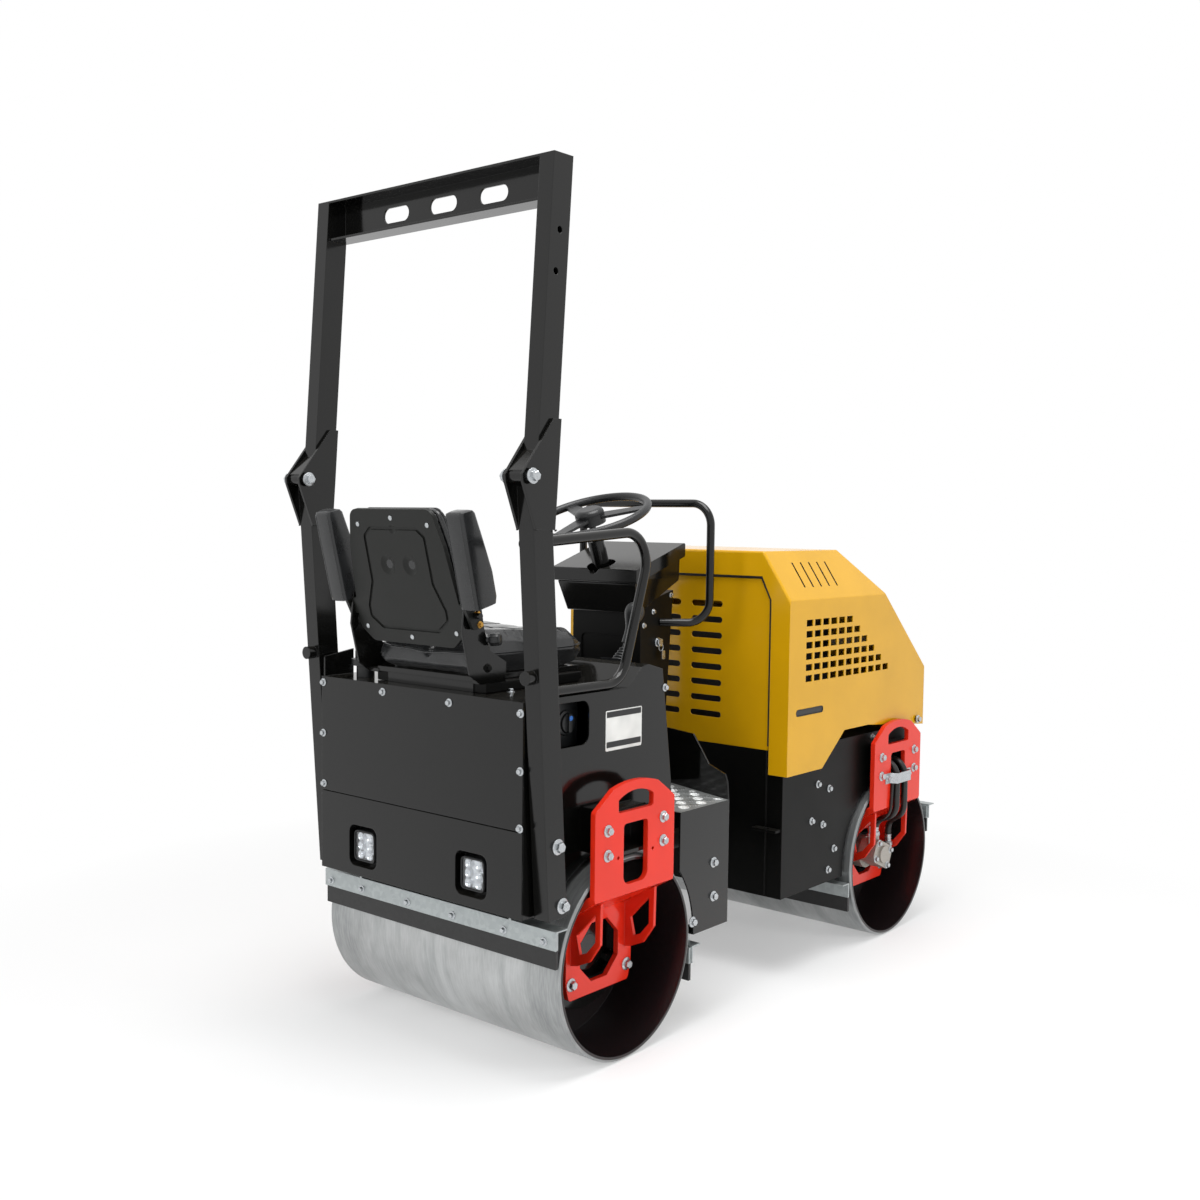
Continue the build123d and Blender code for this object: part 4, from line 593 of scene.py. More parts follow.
class RollerFasteners(bpy.types.Operator):
    """Bolts on the covers, scrapers, brackets, posts, steps, deck, column, hinges and frame"""

    bl_idname = "object.roller_fasteners"
    bl_label = "Fasteners"

    def execute(self, context):
        small = context.scene.roller_sizes.bolt
        big = context.scene.roller_sizes.big_bolt
        bm = bmesh.new()
        for n, (y, z) in enumerate(COVER_BOLTS):
            add_bolt(bm, at(COVER_X, y, z), BACK, small, n * 0.7)
        for n, y in enumerate(SCRAPER_BOLTS):
            add_bolt(bm, at(SCRAPER_X, y, SCRAPER_BOLT_Z), BACK, small, n * 0.4)
        for n, (x, y) in enumerate(DECK_BOLTS):
            add_bolt(bm, at(x, y, DECK_Z), (0, 0, 1), small, n * 0.5)
        for n, (x, z) in enumerate(COLUMN_BOLTS):
            for side in (-1, 1):
                add_bolt(bm, at(x, side * COLUMN_SIDE, z), (0, side, 0), small * 0.8, n * 0.6)
        finish_piece("cover_bolts", bm, "zinc", "rear_frame", 30)
        bm = bmesh.new()
        for side in (-1, 1):
            out = (0, side, 0)
            self.bracket_bolts(bm, 0.0, side, big)
            for n, (x, z) in enumerate(POST_BOLTS):
                add_bolt(bm, at(x, side * POST_SIDE, z), out, big, 0.2 + n)
            for n, (x, z) in enumerate(STEP_BOLTS):
                add_bolt(bm, at(x, side * STEP_SIDE, z), out, big * 0.75, 0.4 * n)
            x, z = HOOP_HINGE
            add_bolt(bm, at(x, side * HOOP_HINGE_OUTER, z), out, big * 0.95, 0.3)
            add_bolt(bm, at(x, side * HOOP_HINGE_INNER, z), (0, -side, 0), big * 0.95, 0.1)
            x, z = TOE_BOLT
            add_bolt(bm, at(x, side * TUB_SIDE, z), out, small, 0.2)
        finish_piece("rear_frame_bolts", bm, "zinc", "rear_frame", 30)
        bm = bmesh.new()
        for side in (-1, 1):
            self.bracket_bolts(bm, WHEELBASE, side, big)
            for n, (x, z) in enumerate(FRAME_BOLTS):
                add_bolt(bm, at(x, side * FRAME_SIDE, z), (0, side, 0), big * 0.62, 0.3 * n)
            x, z = HOOD_HINGE
            add_bolt(bm, at(x, side * HOOD_HINGE_SIDE, z), (0, side, 0), big * 0.7, 0.2)
        finish_piece("front_frame_bolts", bm, "zinc", "front_frame", 30)
        return {"FINISHED"}

    def bracket_bolts(self, bm, x, side, big):
        """Bolts that hold a red bracket to its arm, and its drum buffers to the bracket."""
        for n, (dx, z) in enumerate(BRACKET_BOLTS):
            add_bolt(bm, at(x + dx, side * BRACKET_SIDE, z), (0, side, 0), big * 0.8, n * 0.5)
        for dx, z in BUFFER_BOLTS:
            add_bolt(bm, at(x + dx, side * CARRIER_SIDE, z), (0, side, 0), big * 0.9, 0.3)


# Tread

TREAD_START, TREAD_GROUPS = 270, 9
FLOOR_REAR, FLOOR_FRONT, FLOOR_EDGE = 266, 566, 455
# The floor's front corners are cut off from here, by this much forward for each millimetre inward.
CORNER_X, CORNER_SLOPE, CORNER_INNER = 471, 0.3156, 159
COLUMN_FOOT_REAR, COLUMN_FOOT_HALF = 436, 142
FRONT_MARGIN = 8
# A group's cell is this many bars long, and its bars lie this share of a cell apart.
GROUP_BARS, BAR_PITCH = 1.25, 0.19
# Half lengths of the three middle bars and of the outer two, as shares of a bar.
BAR_HALF, OUTER_BAR_HALF = 0.5, 0.36
BAR_HALF_WIDTH = 2.9
LOZENGE = ((1, 0), (0.6, 1), (-0.6, 1), (-1, 0), (-0.6, -1), (0.6, -1))
# Share of a bar's length that its top keeps, however narrow it is.
TIP_SHARE = 0.35
# Share of a bar's outline, and height over the floor.
BAR_LAYERS = ((1.0, -0.5), (0.82, 1.2), (0.45, 1.8))


class RollerTread(bpy.types.Operator):
    """Raised bars of the chequer plate on the floor, in groups of five that cross"""

    bl_idname = "object.roller_tread"
    bl_label = "Tread plate"

    def execute(self, context):
        bar = context.scene.roller_sizes.bar * 1000
        bm = bmesh.new()
        cell = bar * GROUP_BARS
        rows = int(2 * STEP_SIDE / cell)
        for i in range(-rows // 2, rows // 2 + 1):
            for j in range(TREAD_GROUPS):
                middle = Vector((TREAD_START + cell * (j + 0.5), cell * i))
                turn = math.radians(45 if (i + j) % 2 else -45)
                along = Vector((math.cos(turn), math.sin(turn)))
                across = Vector((-along.y, along.x))
                for k in range(-2, 3):
                    half = bar * (BAR_HALF if abs(k) < 2 else OUTER_BAR_HALF)
                    self.add_bar(bm, middle + across * k * cell * BAR_PITCH, along, across, half)
        finish_piece("tread_bars", bm, "tread", "rear_frame", 30)
        return {"FINISHED"}

    def add_bar(self, bm, middle, along, across, half):
        """One raised lozenge, if it lies on the open floor."""
        for x, y in (middle + along * half, middle - along * half):
            front = FLOOR_FRONT
            if abs(y) > CORNER_INNER:
                front = min(front, CORNER_X + (STEP_SIDE - abs(y)) * CORNER_SLOPE)
            if x < FLOOR_REAR or x > front - FRONT_MARGIN or abs(y) > FLOOR_EDGE:
                return
            if abs(y) < COLUMN_FOOT_HALF and x > COLUMN_FOOT_REAR:
                return
        rings = []
        for grow, rise in BAR_LAYERS:
            ring = []
            for a, b in LOZENGE:
                reach = half * a * (TIP_SHARE + (1 - TIP_SHARE) * grow)
                p = middle + along * reach + across * (b * BAR_HALF_WIDTH * grow)
                ring.append(at(p.x, p.y, FLOOR_Z + rise))
            rings.append(ring)
        add_rings(bm, rings)


# Seat

LEAN = math.radians(14)
BACK_UP = Vector((-math.sin(LEAN), 0, math.cos(LEAN)))
BACK_OUT = Vector((math.cos(LEAN), 0, math.sin(LEAN)))
BACK_FOOT = (-374, 1160)
ARMREST_PIVOT = (-370, 1215)
ARMREST_IN, ARMREST_OUT = 228, 290
# Cushion sections from rear to front: X, lowest and highest Z, half width.
CUSHION = [
    (-328, 1072, 1092, 190),
    (-322, 1062, 1112, 198),
    (-300, 1056, 1142, 204),
    (-262, 1056, 1158, 206),
    (-190, 1056, 1154, 206),
    (-90, 1056, 1150, 206),
    (10, 1056, 1150, 206),
    (70, 1056, 1146, 204),
    (102, 1060, 1132, 198),
    (114, 1074, 1112, 188),
]
# Across a section: share of the half width, and share of the height.
CUSHION_TOP = [(1, 0.45), (0.97, 0.8), (0.8, 1.05), (0.5, 0.98), (0.12, 0.96)]
# Along the middle the top is at the pleat's share of the height behind this X, else at the crown's.
PLEAT_END, PLEAT, CROWN = -250, 0.60, 0.92
# Half of the back pad's outline, and its layers: share of the outline, and depth.
BACK_HALF = [(160, 4), (203, 32), (203, 74), (183, 242), (156, 334)]
BACK_LAYERS = ((0.96, 13.5), (1.0, 20), (1.01, 38), (0.96, 56), (0.82, 68), (0.5, 75), (0.15, 77))
# Along an armrest: height over its pivot, rear and front edge, inset of its rounded ends.
ARMREST = [
    (24, -34, 30, 6),
    (27, -38, 36, 0),
    (44, -38.5, 42.5, 0),
    (110, -38.5, 42.5, 0),
    (190, -38.5, 30, 0),
    (268, -38, 16.5, 0),
    (276, -34, 10, 0),
    (279, -26, 2, 6),
]
# Cloth that swells the pads: voxel in metres, pressure, frames.
PAD_VOXEL, PAD_PRESSURE, CLOTH_FRAMES = 0.006, 4.0, 20
# Piping round the cushion: middle, half length, half width, height, squareness, steps.
PIPING_X, PIPING_LONG, PIPING_WIDE, PIPING_Z = -104, 222, 206, 1108
PIPING_POWER, PIPING_STEPS = 0.35, 128
# Seams are thinner than the piping and pressed into the cover; their lines start above it.
SEAM_SHARE, SEAM_SINK = 0.6, -0.0005
SEAM_X, SEAM_Y, ABOVE_CUSHION = -60, 96, 1190
BACK_MIDDLE = Vector((0, 170))
# Depths of the back's two rounds of piping, and their lines' size to its outline before they are laid.
BACK_PIPING, PIPING_GROW = (22, 56), 1.08
ARMREST_FOOT = [(-14, -36), (24, -36), (28, 30), (-30, 30)]
ARMREST_SCREWS = [(-364, 1222), (-352, 1191)]
RAIL_ENDS, RAIL_Y, RAIL_Z = (-306, 75), 194, 1020
HIP_BOLT = (-308, 1074)
KNOB_PLACE = (-306, 1148)
# Radius and height of the knob's steps; its rim is cut by eight shallow flutes.
KNOB = ((8, -6), (8, 4), (15, 6), (17, 10), (17, 30), (14, 34), (4, 35))
KNOB_SIDES, FLUTES, FLUTE_DEPTH = 48, 8, 0.05
# Rivets on the shell: across and up the backrest.
SHELL_RIVETS = [(-137, 294), (137, 294), (0, 312), (-176, 5), (176, 5), (0, -16)]


def on_back(a, b, d):
    """Point on the leaning backrest: across, up and out of its plane, in millimetres."""
    return at(BACK_FOOT[0], 0, BACK_FOOT[1]) + (Vector((0, a, 0)) + BACK_UP * b + BACK_OUT * d) / 1000


def inflate(piece, cap):
    """Swells a pad with cloth pressure, no point moving further than cap, and leaves a plain mesh."""
    scene = bpy.context.scene
    remesh = piece.modifiers.new("remesh", "REMESH")
    remesh.mode = "VOXEL"
    remesh.voxel_size = PAD_VOXEL
    graph = bpy.context.evaluated_depsgraph_get()
    mesh = bpy.data.meshes.new_from_object(piece.evaluated_get(graph))
    piece.modifiers.clear()
    piece.data = mesh
    start = [v.co.copy() for v in mesh.vertices]
    cloth = piece.modifiers.new("cloth", "CLOTH")
    cloth.settings.use_pressure = True
    cloth.settings.uniform_pressure_force = PAD_PRESSURE
    cloth.settings.effector_weights.gravity = 0.0
    cloth.point_cache.frame_start = 1
    cloth.point_cache.frame_end = CLOTH_FRAMES
    for number in range(1, CLOTH_FRAMES + 1):
        scene.frame_set(number)
    graph = bpy.context.evaluated_depsgraph_get()
    swollen = [v.co.copy() for v in piece.evaluated_get(graph).data.vertices]
    piece.modifiers.clear()
    for vertex, a, b in zip(mesh.vertices, start, swollen):
        move = b - a
        if move.length > cap:
            move *= cap / move.length
        vertex.co = a + move
    scene.frame_set(1)


def smooth_mesh(piece, material):
    """One subdivision, smooth shading and the cover material."""
    piece.data.materials.clear()
    piece.data.materials.append(MATERIALS[material])
    piece.data.shade_smooth()
    level = piece.modifiers.new("subdivision", "SUBSURF")
    level.levels = 1
    level.render_levels = 1


def draped(piece, path, lift):
    """The points of a path laid on a piece's surface, lifted off it a little."""
    graph = bpy.context.evaluated_depsgraph_get()
    tree = BVHTree.FromObject(piece, graph)
    out = []
    for point in path:
        place, normal, _, _ = tree.find_nearest(Vector(point))
        out.append(place + normal * lift)
    return out


class RollerSeat(bpy.types.Operator):
    """Seat covers and armrests in place of the plain CAD solids, with seams, rails and knobs"""

    bl_idname = "object.roller_seat"
    bl_label = "Seat"

    def execute(self, context):
        piping = context.scene.roller_sizes.piping
        self.cushion(piping)
        self.back(piping)
        for side, name in ((-1, "armrest_right"), (1, "armrest_left")):
            self.armrest(side, name, piping)
        bm = bmesh.new()
        for a, b in SHELL_RIVETS:
            m = facing(on_back(a, b, 0), -BACK_OUT)
            add_lathe(bm, [(0.007, -0.001), (0.007, 0.001), (0.005, 0.003), (0.002, 0.0038)], m, 16)
        finish_piece("seat_shell_rivets", bm, "zinc", "rear_frame")
        self.rails_and_knobs()
        return {"FINISHED"}

    def rails_and_knobs(self):
        """Slide rails under the seat, a bolt and a fluted knob on each hip plate."""
        bm = bmesh.new()
        section = rectangle(22, 14, 3)
        for side in (-1, 1):
            rings = [[at(x, side * RAIL_Y + y, RAIL_Z + z) for y, z in section] for x in RAIL_ENDS]
            add_rings(bm, rings)
            add_bolt(bm, at(HIP_BOLT[0], side * HIP_SIDE, HIP_BOLT[1]), (0, side, 0), 0.014, 0.5)
        finish_piece("seat_slide_rails", bm, "satin", "rear_frame", 30)
        bm = bmesh.new()
        for side in (-1, 1):
            place = at(KNOB_PLACE[0], side * HIP_SIDE, KNOB_PLACE[1])
            add_rings(bm, [self.fluted(*step) for step in KNOB], facing(place, (0.4, side * 0.9, 0.1)))
        finish_piece("seat_knobs", bm, "plastic", "rear_frame", 50)

    def fluted(self, radius, z):
        """One ring of the knob, in metres."""
        ring = []
        for k in range(KNOB_SIDES):
            a = 2 * math.pi * k / KNOB_SIDES
            r = radius * (1 - FLUTE_DEPTH * math.cos(FLUTES * a)) / 1000
            ring.append((r * math.cos(a), r * math.sin(a), z / 1000))
        return ring

    def cushion(self, piping):
        """Crowned cushion with side bolsters, a rear roll and a pleat in the middle of it."""
        rings = []
        for x, low, high, half in CUSHION:
            tall = high - low
            ring = [at(x, half * f, low) for f in (0.9, 0.45, 0, -0.45, -0.9)]
            ring += [at(x, -half * f, low + tall * lift) for f, lift in CUSHION_TOP]
            ring.append(at(x, 0, low + tall * (PLEAT if x < PLEAT_END else CROWN)))
            ring += [at(x, half * f, low + tall * lift) for f, lift in reversed(CUSHION_TOP)]
            rings.append(ring)
        bm = bmesh.new()
        add_rings(bm, rings)
        piece = finish_piece("seat_cushion_cover", bm, "vinyl", "rear_frame")
        inflate(piece, 0.008)
        smooth_mesh(piece, "vinyl")
        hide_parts("seat_cushion")
        loop = []
        for t in range(PIPING_STEPS + 1):
            a = 2 * math.pi * t / PIPING_STEPS
            u, v = [math.copysign(abs(c) ** PIPING_POWER, c) for c in (math.cos(a), math.sin(a))]
            loop.append(at(PIPING_X + PIPING_LONG * u, PIPING_WIDE * v, PIPING_Z))
        bm = bmesh.new()
        add_tube(bm, draped(piece, loop, 0.001), piping, 8)
        lines = [[at(x, y, ABOVE_CUSHION) for x in range(-300, 101, 10)] for y in (-SEAM_Y, SEAM_Y)]
        lines.append([at(SEAM_X, y, ABOVE_CUSHION) for y in range(-190, 191, 10)])
        for line in lines:
            add_tube(bm, draped(piece, line, SEAM_SINK), piping * SEAM_SHARE, 8)
        finish_piece("seat_cushion_piping", bm, "vinyl", "rear_frame")

    def back(self, piping):
        """Back pad that bulges forward out of the shell, with piping round its rear edge."""
        outline = rounded(BACK_HALF + [(-a, b) for a, b in reversed(BACK_HALF)], 30, 5)
        rings = []
        for grow, depth in BACK_LAYERS:
            ring = []
            for a, b in outline:
                p = BACK_MIDDLE + (Vector((a, b)) - BACK_MIDDLE) * grow
                ring.append(on_back(p.x, p.y, depth))
            rings.append(ring)
        bm = bmesh.new()
        add_rings(bm, rings)
        piece = finish_piece("seat_back_cover", bm, "vinyl", "rear_frame")
        inflate(piece, 0.007)
        smooth_mesh(piece, "vinyl")
        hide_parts("seat_back")
        bm = bmesh.new()
        wide = [BACK_MIDDLE + (Vector(p) - BACK_MIDDLE) * PIPING_GROW for p in outline + outline[:1]]
        for depth in BACK_PIPING:
            path = [on_back(p.x, p.y, depth) for p in wide]
            add_tube(bm, draped(piece, path, 0.0008), piping, 8)
        for side in (-1, 1):
            line = [on_back(side * (104 - abs(b - 160) * 0.12), b, 110) for b in range(50, 311, 10)]
            add_tube(bm, draped(piece, line, SEAM_SINK), piping * SEAM_SHARE, 8)
        finish_piece("seat_back_piping", bm, "vinyl", "rear_frame")

    def armrest(self, side, body, piping):
        """Soft armrest box with rounded ends, a seam down each edge, and its hinge foot."""
        rings = []
        for w, back, front, inset in ARMREST:
            near, far = ARMREST_IN + inset, ARMREST_OUT - inset
            box = rounded([(back, near), (front, near), (front, far), (back, far)], 11)
            rings.append([self.on_armrest(u, y, w, side) for u, y in box])
        bm = bmesh.new()
        add_rings(bm, rings)
        piece = finish_piece(body + "_pad", bm, "vinyl", body, 50)
        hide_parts(body)
        bm = bmesh.new()
        for y in (ARMREST_IN + 5, ARMREST_OUT - 5):
            path = [self.on_armrest(-50, y, w, side) for w in range(34, 272, 8)]
            add_tube(bm, draped(piece, path, -0.0004), piping * 0.5, 8)
        finish_piece(body + "_seams", bm, "vinyl", body)
        bm = bmesh.new()
        foot = [self.on_armrest(u, ARMREST_IN + 0.5, w, side) for u, w in rounded(ARMREST_FOOT, 8)]
        add_slab(bm, foot, 0.010, (0, side, 0))
        finish_piece(body + "_foot", bm, "shell", body, 30)
        bm = bmesh.new()
        for x, z in ARMREST_SCREWS:
            add_bolt(bm, at(x, side * (ARMREST_IN + 10.5), z), (0, side, 0), 0.011, 0.2)
        finish_piece(body + "_screws", bm, "brass", body, 30)

    def on_armrest(self, u, y, w, side):
        """Point on an armrest that stands up beside the back: forward, across and up, in millimetres."""
        place = BACK_OUT * u + BACK_UP * w
        return at(ARMREST_PIVOT[0] + place.x, side * y, ARMREST_PIVOT[1] + place.z)


# Lamps

LAMP_Y = (-217, 217)
REAR_LAMP, FRONT_LAMP = (-343, 534), (1719, 838)
# Half width, half height and corner radius, and heights over the lamp's face, in metres.
LAMP_OUTER, LAMP_INNER = (0.043, 0.043, 0.014), (0.0395, 0.0395, 0.011)
BASE_Z, LENS_Z = (0.0002, 0.0010), (0.006, 0.0085)
RIM_OUTER_Z, RIM_INNER_Z = (0.003, 0.011), (0.011, 0.004)
CELLS_ACROSS, CELLS_UP = (-0.0190, 0.0190), (-0.0258, 0.0, 0.0258)
# Radius and height of one reflector cup and of the bulb in it, in metres.
CELL = [(0.0126, 0.0008), (0.0126, 0.0052), (0.0118, 0.0052)]
CELL += [(0.0080, 0.0020), (0.0028, 0.0014), (0.0028, 0.0030)]


class RollerLamps(bpy.types.Operator):
    """Six-cell reflectors, rims and clear lenses in the rear and front lamps"""

    bl_idname = "object.roller_lamps"
    bl_label = "Lamps"

    def execute(self, context):
        rear = [(at(REAR_LAMP[0], y, REAR_LAMP[1]), BACK) for y in LAMP_Y]
        front = [(at(FRONT_LAMP[0], y, FRONT_LAMP[1]), (1, 0, 0)) for y in LAMP_Y]
        for name, places, body in (("rear_lamp", rear, "rear_frame"), ("front_lamp", front, "hood")):
            cells = bmesh.new()
            glass = bmesh.new()
            rims = bmesh.new()
            for place, axis in places:
                m = facing(place, axis)
                outer = rectangle(*LAMP_OUTER)
                inner = rectangle(*LAMP_INNER)
                add_rings(cells, [[(x, y, z) for x, y in inner] for z in BASE_Z], m)
                for cx in CELLS_ACROSS:
                    for cy in CELLS_UP:
                        add_lathe(cells, CELL, m @ Matrix.Translation((cx, cy, 0.0)), 20)
                rings = [[(x, y, z) for x, y in outer] for z in RIM_OUTER_Z]
                rings += [[(x, y, z) for x, y in inner] for z in RIM_INNER_Z]
                add_rings(rims, rings, m, caps=False)
                add_rings(glass, [[(x, y, z) for x, y in inner] for z in LENS_Z], m)
            finish_piece(name + "_cells", cells, "reflector", body)
            finish_piece(name + "_rims", rims, "plastic", body)
            finish_piece(name + "_lenses", glass, "lens", body)
        return {"FINISHED"}


# Hydraulics

# Strap over the hoses: place along the bracket, and height over it.
CLAMP_LINE = [(-92, 0), (-60, 0), (-48, 24), (48, 24), (60, 0), (92, 0)]
CLAMP_LOW, CLAMP_HIGH, STRAP, STRAP_BOLT = 553, 589, 3, 76
# Hoses' lower ends: X from the axle, Z, radius.
CRIMPS = [(-10, 350, 13.5), (88, 298, 13.5), (-48, 350, 7.0)]
MOTOR_TILT = math.radians(24)
MOTOR_FACE, MOTOR_Z, MOTOR_BOLTS = 432, 280, (46, 28)
HOSE_SIDE = 404
# Share of a ferrule's radius, and height over the hose's lower end in millimetres.
FERRULE = [(0.9, 10), (1, 12), (1, 18), (0.9, 19), (0.9, 21), (1, 22)]
FERRULE += [(1, 27), (0.9, 28), (0.9, 30), (1, 31), (1, 36), (0.86, 37)]


class RollerHydraulics(bpy.types.Operator):
    """Crimps on the hoses, the strap that clamps them, and bolts on the motors"""

    bl_idname = "object.roller_hydraulics"
    bl_label = "Hydraulics"

    def execute(self, context):
        big = context.scene.roller_sizes.big_bolt
        for name, x, sides in (("rear", 0.0, (1,)), ("front", WHEELBASE, (-1, 1))):
            bm = bmesh.new()
            for side in sides:
                self.add_crimps(bm, x, side)
                self.add_clamp(bm, x, side, big * 0.55)
                self.add_motor_bolts(bm, x, side, big * 0.62)
            finish_piece(name + "_hose_fittings", bm, "zinc", name + "_frame", 30)
        return {"FINISHED"}

    def add_crimps(self, bm, x, side):
        """Swaged ferrule with two grooves and a hex nut on each hose's lower end."""
        for dx, z, radius in CRIMPS:
            m = facing(at(x + dx, side * HOSE_SIDE, z), (0, 0, 1))
            r = radius / 1000
            nut = [circle(r * 1.22, h, 6) for h in (-0.004, 0.010)]
            add_rings(bm, nut, m)
            add_lathe(bm, [(r * share, h / 1000) for share, h in FERRULE], m, 20)

    def add_clamp(self, bm, x, side, flats):
        """Bent strap over the hoses, bolted to the bracket at both ends."""
        loop = CLAMP_LINE + [(dx, rise + STRAP) for dx, rise in reversed(CLAMP_LINE)]
        ends = (CLAMP_LOW, CLAMP_HIGH)
        add_rings(bm, [[at(x + dx, side * (BRACKET_SIDE + rise), z) for dx, rise in loop] for z in ends])
        for dx in (-STRAP_BOLT, STRAP_BOLT):
            place = at(x + dx, side * (BRACKET_SIDE + STRAP), sum(ends) / 2)
            add_bolt(bm, place, (0, side, 0), flats, dx)

    def add_motor_bolts(self, bm, x, side, flats):
        """Four cap bolts on a motor's tilted end face."""
        along, over = MOTOR_BOLTS
        for u in (-along, along):
            for w in (-over, over):
                dx = u * math.cos(MOTOR_TILT) + w * math.sin(MOTOR_TILT)
                dz = w * math.cos(MOTOR_TILT) - u * math.sin(MOTOR_TILT)
                add_bolt(bm, at(x + dx, side * MOTOR_FACE, MOTOR_Z + dz), (0, side, 0), flats, u + w)


# Trim

# Half width, half height and corner radius of the plate and of its bands.
PLATE, BAND = (78, 55, 5), (74, 8, 2)
PLATE_X, PLATE_Z, BAND_RISES = 42, 895, (-38, 44)
SEAL_X = 798
SEAL = [(-384, 740), (-384, 1217), (-348, 1287.5), (348, 1287.5), (384, 1217), (384, 740)]
GRIP_X, GRIP_Z = 923, 857
# Half length, half height and distance out of the hood of the grip's steps.
GRIP = ((82.5, 10.5, -1.0), (82.5, 10.5, 0.6), (80.5, 8.5, 0.6), (79, 7, -22.0))
# Slope of the hood's eaves, the edges (Y, Z) and ends (X) of the black sheet of painted shade under them,
# and the slots that it darkens.
EAVE_OUT = (0.832, 0.557)
SHADE_SHEET_LOW, SHADE_SHEET_HIGH, SHADE_SHEET_ENDS = (437, 1231), (356, 1352), (893, 1160)
EAVE_SLOT_X, EAVE_SLOT_PITCH, EAVE_SLOTS = 921, 51, 5
EAVE_MIDDLE = (405.5, 1294)
# Half length, half width and distance out of the eave of a slot's black sleeve of painted shade.
SLOT_SHADE_SLEEVE = ((46.9, 3.9, -4.5), (46.9, 3.9, -0.2), (46.5, 3.5, -0.2), (46.5, 3.5, -4.5))
KEY_X, KEY_Z = 528, 1083
LOCK = [(0.015, -0.001), (0.015, 0.004), (0.012, 0.005), (0.012, 0.012), (0.010, 0.013)]
# Each key's place forward of the lock, out of the column and up from the lock, and its
# half width, half height and corner radius.
KEYS = ((0, 13, 0, 9, 12, 7), (10, 16, -39, 8, 14, 6))
KEY_RING, KEY_RING_DROP = 11, 15
ISOLATOR_X, ISOLATOR_Z, ISOLATOR_SIDE = -140, 925, 344
ISOLATOR_PANEL = (-176, 928)
# Welds: the drums' arms, the front frame's rear plate (X, Y, Z) and the posts' heads (X, Z).
ARM_HALF, ARM_LOW, ARM_HIGH, ARM_END = 78, 569, 689, 451
REAR_PLATE_X, REAR_PLATE_Y, REAR_PLATE_LOW, REAR_PLATE_HIGH = 799.5, 378, 266, 733
POST_HEADS, POST_WALLS = ((-316, 1438), (-388, 1440)), (402, 464)


